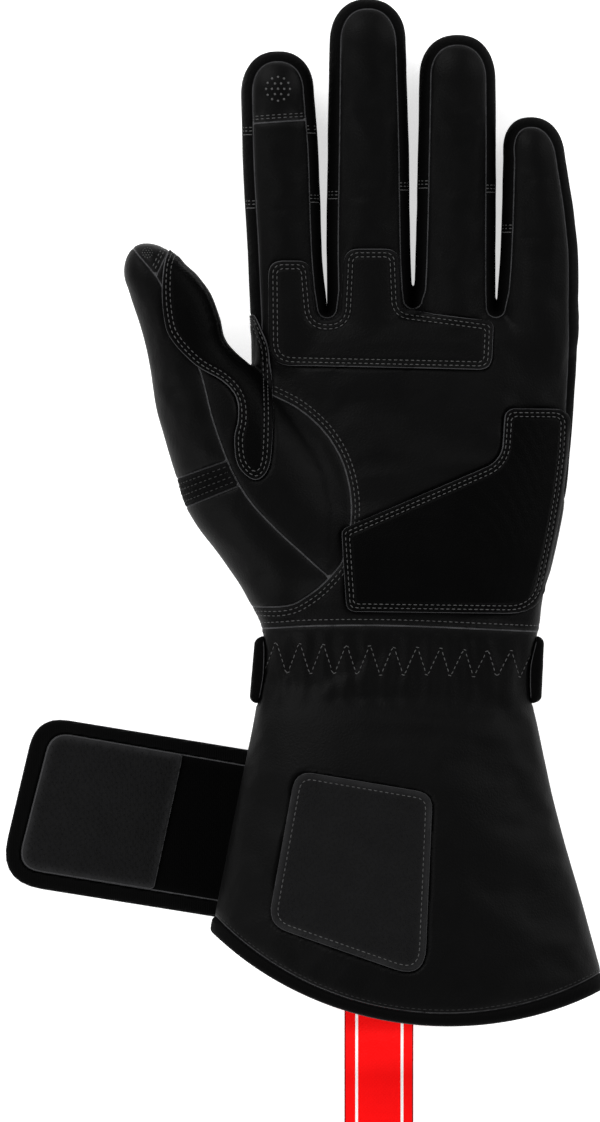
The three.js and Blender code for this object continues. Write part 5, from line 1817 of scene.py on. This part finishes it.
def leather_grain():
    tree, given, result = tree_with("leather grain", "ShaderNodeTree", [
        ("Place", "Vector"), ("Cell", "Float", 0.0011), ("Crease", "Float", 0.5),
    ], [("Height", "Float"), ("Mottle", "Float")])
    scale = math_node(tree, "DIVIDE", 1.0, given["Cell"])
    place = given["Place"]
    bend = node(tree, "ShaderNodeTexNoise", Vector=place, Scale=math_node(tree, "MULTIPLY", scale, 0.7),
                Detail=3.0, Roughness=0.6)
    offset = node(tree, "ShaderNodeVectorMath", {"operation": "MULTIPLY_ADD"}, _0=bend.outputs["Color"],
                  _1=(GRAIN_BEND,) * 3, _2=place)
    cells = node(tree, "ShaderNodeTexVoronoi", {"feature": "DISTANCE_TO_EDGE"}, Vector=offset,
                 Scale=scale)
    pebble = soft_step(tree, cells.outputs["Distance"], 0.0, PEBBLE_WIDTH, 0.0, 1.0)
    fine = node(tree, "ShaderNodeTexNoise", Vector=place, Scale=math_node(tree, "MULTIPLY", scale, 3.0),
                Detail=4.0, Roughness=0.7)
    wide = node(tree, "ShaderNodeTexNoise", Vector=place, Scale=85.0, Detail=3.0)
    grain = math_node(tree, "MULTIPLY", pebble, given["Crease"])
    height = math_node(tree, "MULTIPLY_ADD", fine.outputs["Fac"], FINE_HEIGHT, grain)
    tree.links.new(height, result["Height"])
    tree.links.new(wide.outputs["Fac"], result["Mottle"])
    return tree


# %% Weave
WEAVE_LEAN = 0.7


def woven_threads():
    tree, given, result = tree_with("woven threads", "ShaderNodeTree", [
        ("Place", "Vector"), ("Thread", "Float", 0.0006), ("Ribs", "Float", 0.0),
    ], [("Height", "Float"), ("Mottle", "Float")])
    parts = node(tree, "ShaderNodeSeparateXYZ", _0=given["Place"])
    turns = math_node(tree, "DIVIDE", math.pi, given["Thread"])
    lean = math_node(tree, "MULTIPLY", parts.outputs["Z"], WEAVE_LEAN)
    across = math_node(tree, "MULTIPLY", math_node(tree, "ADD", parts.outputs["X"], lean), turns)
    along = math_node(tree, "MULTIPLY", math_node(tree, "ADD", parts.outputs["Y"], lean), turns)
    warp = math_node(tree, "ABSOLUTE", math_node(tree, "SINE", across))
    weft = math_node(tree, "ABSOLUTE", math_node(tree, "SINE", along))
    half = math_node(tree, "MULTIPLY", math_node(tree, "SINE", math_node(tree, "MULTIPLY", across, 0.5)),
                     math_node(tree, "SINE", math_node(tree, "MULTIPLY", along, 0.5)))
    over = math_node(tree, "GREATER_THAN", half, 0.0)
    basket = node(tree, "ShaderNodeMix", {"data_type": "FLOAT"}, _0=over, _2=warp, _3=weft)
    ribbed_or_plain = node(tree, "ShaderNodeMix", {"data_type": "FLOAT"}, _0=given["Ribs"],
                           _2=basket, _3=warp)
    wide = node(tree, "ShaderNodeTexNoise", Vector=given["Place"], Scale=120.0, Detail=3.0)
    tree.links.new(ribbed_or_plain.outputs[0], result["Height"])
    tree.links.new(wide.outputs["Fac"], result["Mottle"])
    return tree


# %% Cut edges and painted highlights on the rolled seams
LINE_FADE = (0.6, 1.5)


def cut_edge():
    tree, given, result = tree_with("cut and rubbed edge", "ShaderNodeTree", [
        ("Edge Distance", "Float"), ("Line Width", "Float", 0.18), ("Rub Reach", "Float", 1.6),
        ("Mottle", "Float"),
    ], [("Line", "Float"), ("Rub", "Float")])
    start, end = (math_node(tree, "MULTIPLY", given["Line Width"], share) for share in LINE_FADE)
    line = soft_step(tree, given["Edge Distance"], start, end, 1.0, 0.0)
    # A painted highlight on the rolled seam beside the cut edge, mottled like wear. It fades with the
    # distance from the seam.
    near = math_node(tree, "DIVIDE", given["Edge Distance"], given["Rub Reach"])
    bell = math_node(tree, "EXPONENT", math_node(tree, "MULTIPLY", math_node(tree, "POWER", near, 2.0), -1.0))
    wear_and_highlight = math_node(tree, "MULTIPLY", bell, given["Mottle"])
    tree.links.new(line, result["Line"])
    tree.links.new(wear_and_highlight, result["Rub"])
    return tree


GRAIN, WEAVE, EDGE = leather_grain(), woven_threads(), cut_edge()
print("node groups:", GRAIN.name, "|", WEAVE.name, "|", EDGE.name)

# %% [markdown]
# ## Materials
#
# Every material follows one recipe: a near-black base that varies a little over the surface, a
# paler cut edge, a painted highlight beside it that is mottled like wear, and a bump from the grain
# or the weave. Only the values differ, so they sit in one table. Gloss that is even over the whole
# piece is set on the shader.

# %% The recipe
PAINT_COLUMNS = ("slot", "texture", "size", "dark", "light", "edge", "rough", "gloss", "sheen", "bump")
PAINTS = {
    "shell leather": ("shell_leather", "grain", 1.1, 0.0005, 0.0012, 0.057, 0.5, 0.05, 0.0, 0.5),
    "knuckle leather": ("patch_leather", "grain", 1.1, 0.0005, 0.0012, 0.057, 0.5, 0.05, 0.0, 0.5),
    "touch leather": ("touch_leather", "grain", 0.7, 0.0006, 0.0014, 0.06, 0.45, 0.055, 0.0, 0.3),
    "patch leather": ("patch_leather", "grain", 0.9, 0.0002, 0.0005, 0.057, 0.48, 0.028, 0.0, 0.45),
    "black textile": ("black_textile", "weave", 0.55, 0.0002, 0.0005, 0.05, 0.75, 0.024, 0.0, 0.5),
    "stretch fabric": ("stretch_fabric", "weave", 0.5, 0.0004, 0.0011, 0.05, 0.8, 0.04, 0.0, 0.5),
    "binding tape": ("binding_tape", "ribs", 0.7, 0.0002, 0.0005, 0.03, 0.7, 0.03, 0.0, 0.5),
    "fastener tape": ("fastener_tape", "weave", 0.8, 0.004, 0.007, 0.04, 0.9, 0.05, 0.0, 0.5),
    "lining": ("black_textile", "weave", 0.9, 0.003, 0.006, 0.006, 0.95, 0.08, 0.02, 0.5),
}
BUMP_HEIGHT = 0.12 * MM
ROUGH_SPREAD, WEAR_AND_HIGHLIGHT_LIGHTNESS = 0.07, 3


def colour(grey, blue=1.04):
    return (grey, grey, grey * blue, 1)


def opened(material):
    """The node tree of a material and its main shader."""
    material.use_nodes = True
    return material.node_tree, material.node_tree.nodes["Principled BSDF"]


def raised(tree, shader, height, strength, distance):
    bump = node(tree, "ShaderNodeBump", Strength=strength, Distance=distance, Height=height)
    tree.links.new(bump.outputs[0], shader.inputs["Normal"])


def paint(name):
    row = dict(zip(PAINT_COLUMNS, PAINTS[name]))
    material = bpy.data.materials.new(name)
    tree, shader = opened(material)
    place = node(tree, "ShaderNodeTexCoord").outputs["Object"]
    if row["texture"] == "grain":
        surface = node(tree, "ShaderNodeGroup", {"node_tree": GRAIN}, Place=place, Cell=row["size"] * MM)
    else:
        surface = node(tree, "ShaderNodeGroup", {"node_tree": WEAVE}, Place=place, Thread=row["size"] * MM,
                       Ribs=1.0 if row["texture"] == "ribs" else 0.0)
    distance = node(tree, "ShaderNodeAttribute", {"attribute_name": "edge_distance"}).outputs["Fac"]
    edge = node(tree, "ShaderNodeGroup", {"node_tree": EDGE}, Edge_Distance=distance,
                Mottle=surface.outputs["Mottle"])
    base = blend(tree, surface.outputs["Mottle"], colour(row["dark"]), colour(row["light"]))
    # Painted highlight: the base is lightened along the rolled seams, unevenly like wear.
    wear_and_highlight = blend(tree, edge.outputs["Rub"], base, colour(row["light"] * WEAR_AND_HIGHLIGHT_LIGHTNESS))
    lined = blend(tree, edge.outputs["Line"], wear_and_highlight, colour(row["edge"]))
    tree.links.new(lined, shader.inputs["Base Color"])
    rough = node(tree, "ShaderNodeMapRange", Value=surface.outputs["Mottle"],
                 To_Min=row["rough"] - ROUGH_SPREAD, To_Max=row["rough"] + ROUGH_SPREAD)
    tree.links.new(rough.outputs[0], shader.inputs["Roughness"])
    shader.inputs["Specular IOR Level"].default_value = row["gloss"]
    shader.inputs["Sheen Weight"].default_value = row["sheen"]
    shader.inputs["Sheen Roughness"].default_value = 0.5
    raised(tree, shader, surface.outputs["Height"], row["bump"], BUMP_HEIGHT)
    return material


painted = {name: paint(name) for name in PAINTS}
print("materials:", ", ".join(painted))

# %% Thread, dots and ribbon
THREAD_COLUMNS = ("dark", "light", "rough", "gloss", "twist")
THREADS = [
    (THREAD, (0.03, 0.054, 0.6, 0.25, 4000.0)),
    (DARK_THREAD, (0.012, 0.022, 0.6, 0.15, 4000.0)),
    (HOOK_FINISH, (0.004, 0.008, 0.8, 0.06, 2500.0)),
    (DOT_RUBBER, (0.03, 0.05, 0.45, 0.3, 900.0)),
]
STRAND_HEIGHT, RIBBON_WEAVE_HEIGHT, RIBBON_THREAD = 0.05 * MM, 0.1 * MM, 0.35 * MM
RIBBON_RED, RIBBON_SHADOW = (0.98, 0.001, 0.0015, 1), (0.85, 0.0005, 0.001, 1)
RIBBON_WHITE, RIBBON_EDGE = (0.9, 0.9, 0.89, 1), (0.1, 0.001, 0.001, 1)
WHITE_LINES, WHITE_HALF_WIDTH, WHITE_SOFTNESS, EDGE_START = (-6.9, 7.2), 0.42, 0.06, 10.35


def thread_paint(material, row):
    tree, shader = opened(material)
    place = node(tree, "ShaderNodeTexCoord").outputs["Object"]
    strands = node(tree, "ShaderNodeTexNoise", Vector=place, Scale=row["twist"], Detail=2.0)
    mixed = blend(tree, strands.outputs["Fac"], colour(row["dark"], 1.0), colour(row["light"], 1.0))
    tree.links.new(mixed, shader.inputs["Base Color"])
    shader.inputs["Roughness"].default_value = row["rough"]
    shader.inputs["Specular IOR Level"].default_value = row["gloss"]
    raised(tree, shader, strands.outputs["Fac"], 0.5, STRAND_HEIGHT)


def stripe(tree, across, centre, half_width):
    """1 inside a stripe and 0 outside it, with a soft edge."""
    off = math_node(tree, "ABSOLUTE", math_node(tree, "SUBTRACT", across, centre * MM))
    start, end = (half_width - WHITE_SOFTNESS) * MM, (half_width + WHITE_SOFTNESS) * MM
    return soft_step(tree, off, start, end, 1.0, 0.0)


def ribbon_paint():
    material = bpy.data.materials.new("red ribbon")
    tree, shader = opened(material)
    uv = node(tree, "ShaderNodeUVMap", {"uv_map": "ribbon"}).outputs[0]
    parts = node(tree, "ShaderNodeSeparateXYZ", _0=uv)
    weave = node(tree, "ShaderNodeGroup", {"node_tree": WEAVE}, Place=uv, Thread=RIBBON_THREAD, Ribs=0.0)
    across = parts.outputs["X"]
    colours = blend(tree, weave.outputs["Height"], RIBBON_SHADOW, RIBBON_RED)
    for centre in WHITE_LINES:
        colours = blend(tree, stripe(tree, across, centre, WHITE_HALF_WIDTH), colours, RIBBON_WHITE)
    on_edge = math_node(tree, "GREATER_THAN", math_node(tree, "ABSOLUTE", across), EDGE_START * MM)
    tree.links.new(blend(tree, on_edge, colours, RIBBON_EDGE), shader.inputs["Base Color"])
    shader.inputs["Roughness"].default_value = 0.6
    shader.inputs["Specular IOR Level"].default_value = 0.08
    raised(tree, shader, weave.outputs["Height"], 0.5, RIBBON_WEAVE_HEIGHT)
    return material


for material, row in THREADS:
    thread_paint(material, dict(zip(THREAD_COLUMNS, row)))
red_ribbon = ribbon_paint()

# %% [markdown]
# ## Every piece gets its finish, its body and its place in the part
#
# Each sewn piece stands for the plain solid of the same name. Stitches, hooks, loops and dots are
# extra pieces that ride on the same body. The heel patch is padded.

# %% Finishes
NODE_PAINTS = {
    "shell leather": ["palm_panel", "back_panel", "thumb_front_panel", "thumb_base_panel", "thumb_ball_panel",
                      "thumb_back_panel", "cuff_palm_panel", "cuff_back_panel"],
    "touch leather": ["index_touch_tip", "thumb_touch_tip"],
    "knuckle leather": ["knuckle_patch"],
    "patch leather": ["heel_patch", "thumb_crotch_patch"],
    "black textile": ["side_strip_index", "fourchette_index_middle", "fourchette_middle_ring",
                      "fourchette_ring_little", "side_strip_little", "wrist_strap", "strap_tab_core"],
    "stretch fabric": ["thumb_stretch_insert"],
    "binding tape": ["hem_binding", "strap_tab_binding"],
    "fastener tape": ["cuff_loop_patch", "strap_tab_hook_pad"],
}
for paint_name, names in NODE_PAINTS.items():
    for name in names:
        piece = pieces[name]
        piece.data.materials.append(painted[paint_name])
        piece.data.materials.append(painted["lining"])
        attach(piece, "root")
        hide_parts(name)
ribbon.data.materials.append(red_ribbon)
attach(ribbon, "root")
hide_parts("pull_ribbon")
for name, piece in extras.items():
    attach(piece, "root")
print(len(pieces), "sewn pieces and", len(extras), "extras")

# %% [markdown]
# ## Floor, light and camera
#
# The glove is near black, so an overhead lamp would only wash it grey. Large soft lamps stand round
# it instead: they whiten the floor and draw a soft edge of light along every rolled seam, while the
# surfaces that face the camera stay dark. The camera looks straight down through a very long lens,
# which keeps the outline flat and free of perspective.

# %% Floor
FLOOR_HALF = 3000
FLOOR_DROP = 0.1
FLOOR_CORNERS = [(-1, -1), (1, -1), (1, 1), (-1, 1)]
floor = mesh_object("floor", [(x * FLOOR_HALF, y * FLOOR_HALF, -FLOOR_DROP) for x, y in FLOOR_CORNERS],
                    [(0, 1, 2, 3)])
floor_paint = bpy.data.materials.new("pale floor")
_, floor_shader = opened(floor_paint)
floor_shader.inputs["Base Color"].default_value = (0.88, 0.88, 0.88, 1)
floor_shader.inputs["Roughness"].default_value = 0.9
floor_shader.inputs["Specular IOR Level"].default_value = 0.1
floor_shader.inputs["Emission Color"].default_value = (1, 1, 1, 1)
floor_shader.inputs["Emission Strength"].default_value = 0.6
floor.data.materials.append(floor_paint)
floor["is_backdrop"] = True

# %% Lamps
world = bpy.data.worlds.new("studio")
world.use_nodes = True
sky = world.node_tree.nodes["Background"]
sky.inputs["Color"].default_value = (1, 1, 1, 1)
sky.inputs["Strength"].default_value = 0.45
bpy.context.scene.world = world
LAMP_COLUMNS = ("turn", "height", "distance", "size", "power")
LAMPS = [(-35, 0.8, 1.15, 0.9, 15), (55, 0.65, 1.2, 0.8, 8), (145, 0.75, 1.2, 0.8, 9),
         (-125, 0.8, 1.15, 0.8, 10)]
for number, row in enumerate(LAMPS):
    lamp_row = dict(zip(LAMP_COLUMNS, row))
    lamp = bpy.data.lights.new(f"lamp_{number}", "AREA")
    lamp.shape = "SQUARE"
    lamp.size = lamp_row["size"]
    lamp.energy = lamp_row["power"]
    stand = in_scene(lamp.name, lamp)
    turn, distance = math.radians(lamp_row["turn"]), lamp_row["distance"]
    place = Vector((math.sin(turn) * distance, math.cos(turn) * distance, lamp_row["height"]))
    stand.location = place
    stand.rotation_euler = (-place).to_track_quat("-Z", "Y").to_euler()
    stand.visible_camera = False

# %% Camera
PHOTO_HEIGHT = 1122
MM_PER_PIXEL = 0.31
CENTRE_X, CENTRE_Y = -1.1, 4.19
SHARP_HEIGHT = 18
LENS, SENSOR = 700, 36
camera_distance = PHOTO_HEIGHT * MM_PER_PIXEL * LENS / SENSOR
camera = in_scene("camera", bpy.data.cameras.new("camera"))
camera.data.lens = LENS
camera.data.sensor_width = SENSOR
camera.data.clip_end = 30
camera.location = (CENTRE_X * MM, CENTRE_Y * MM, (SHARP_HEIGHT + camera_distance) * MM)
bpy.context.scene.camera = camera
bpy.context.scene.view_settings.view_transform = "Standard"
print("camera", round(camera_distance), "mm above the seams")

# %% Sizes and the end of the script
dressed_low, dressed_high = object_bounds()
sizes = [[list(cad_low), list(cad_high)], [list(dressed_low), list(dressed_high)]]
in_mm = [[[round(v / MM, 1) for v in corner] for corner in box] for box in sizes]
print("CAD box and dressed box in mm:", in_mm)
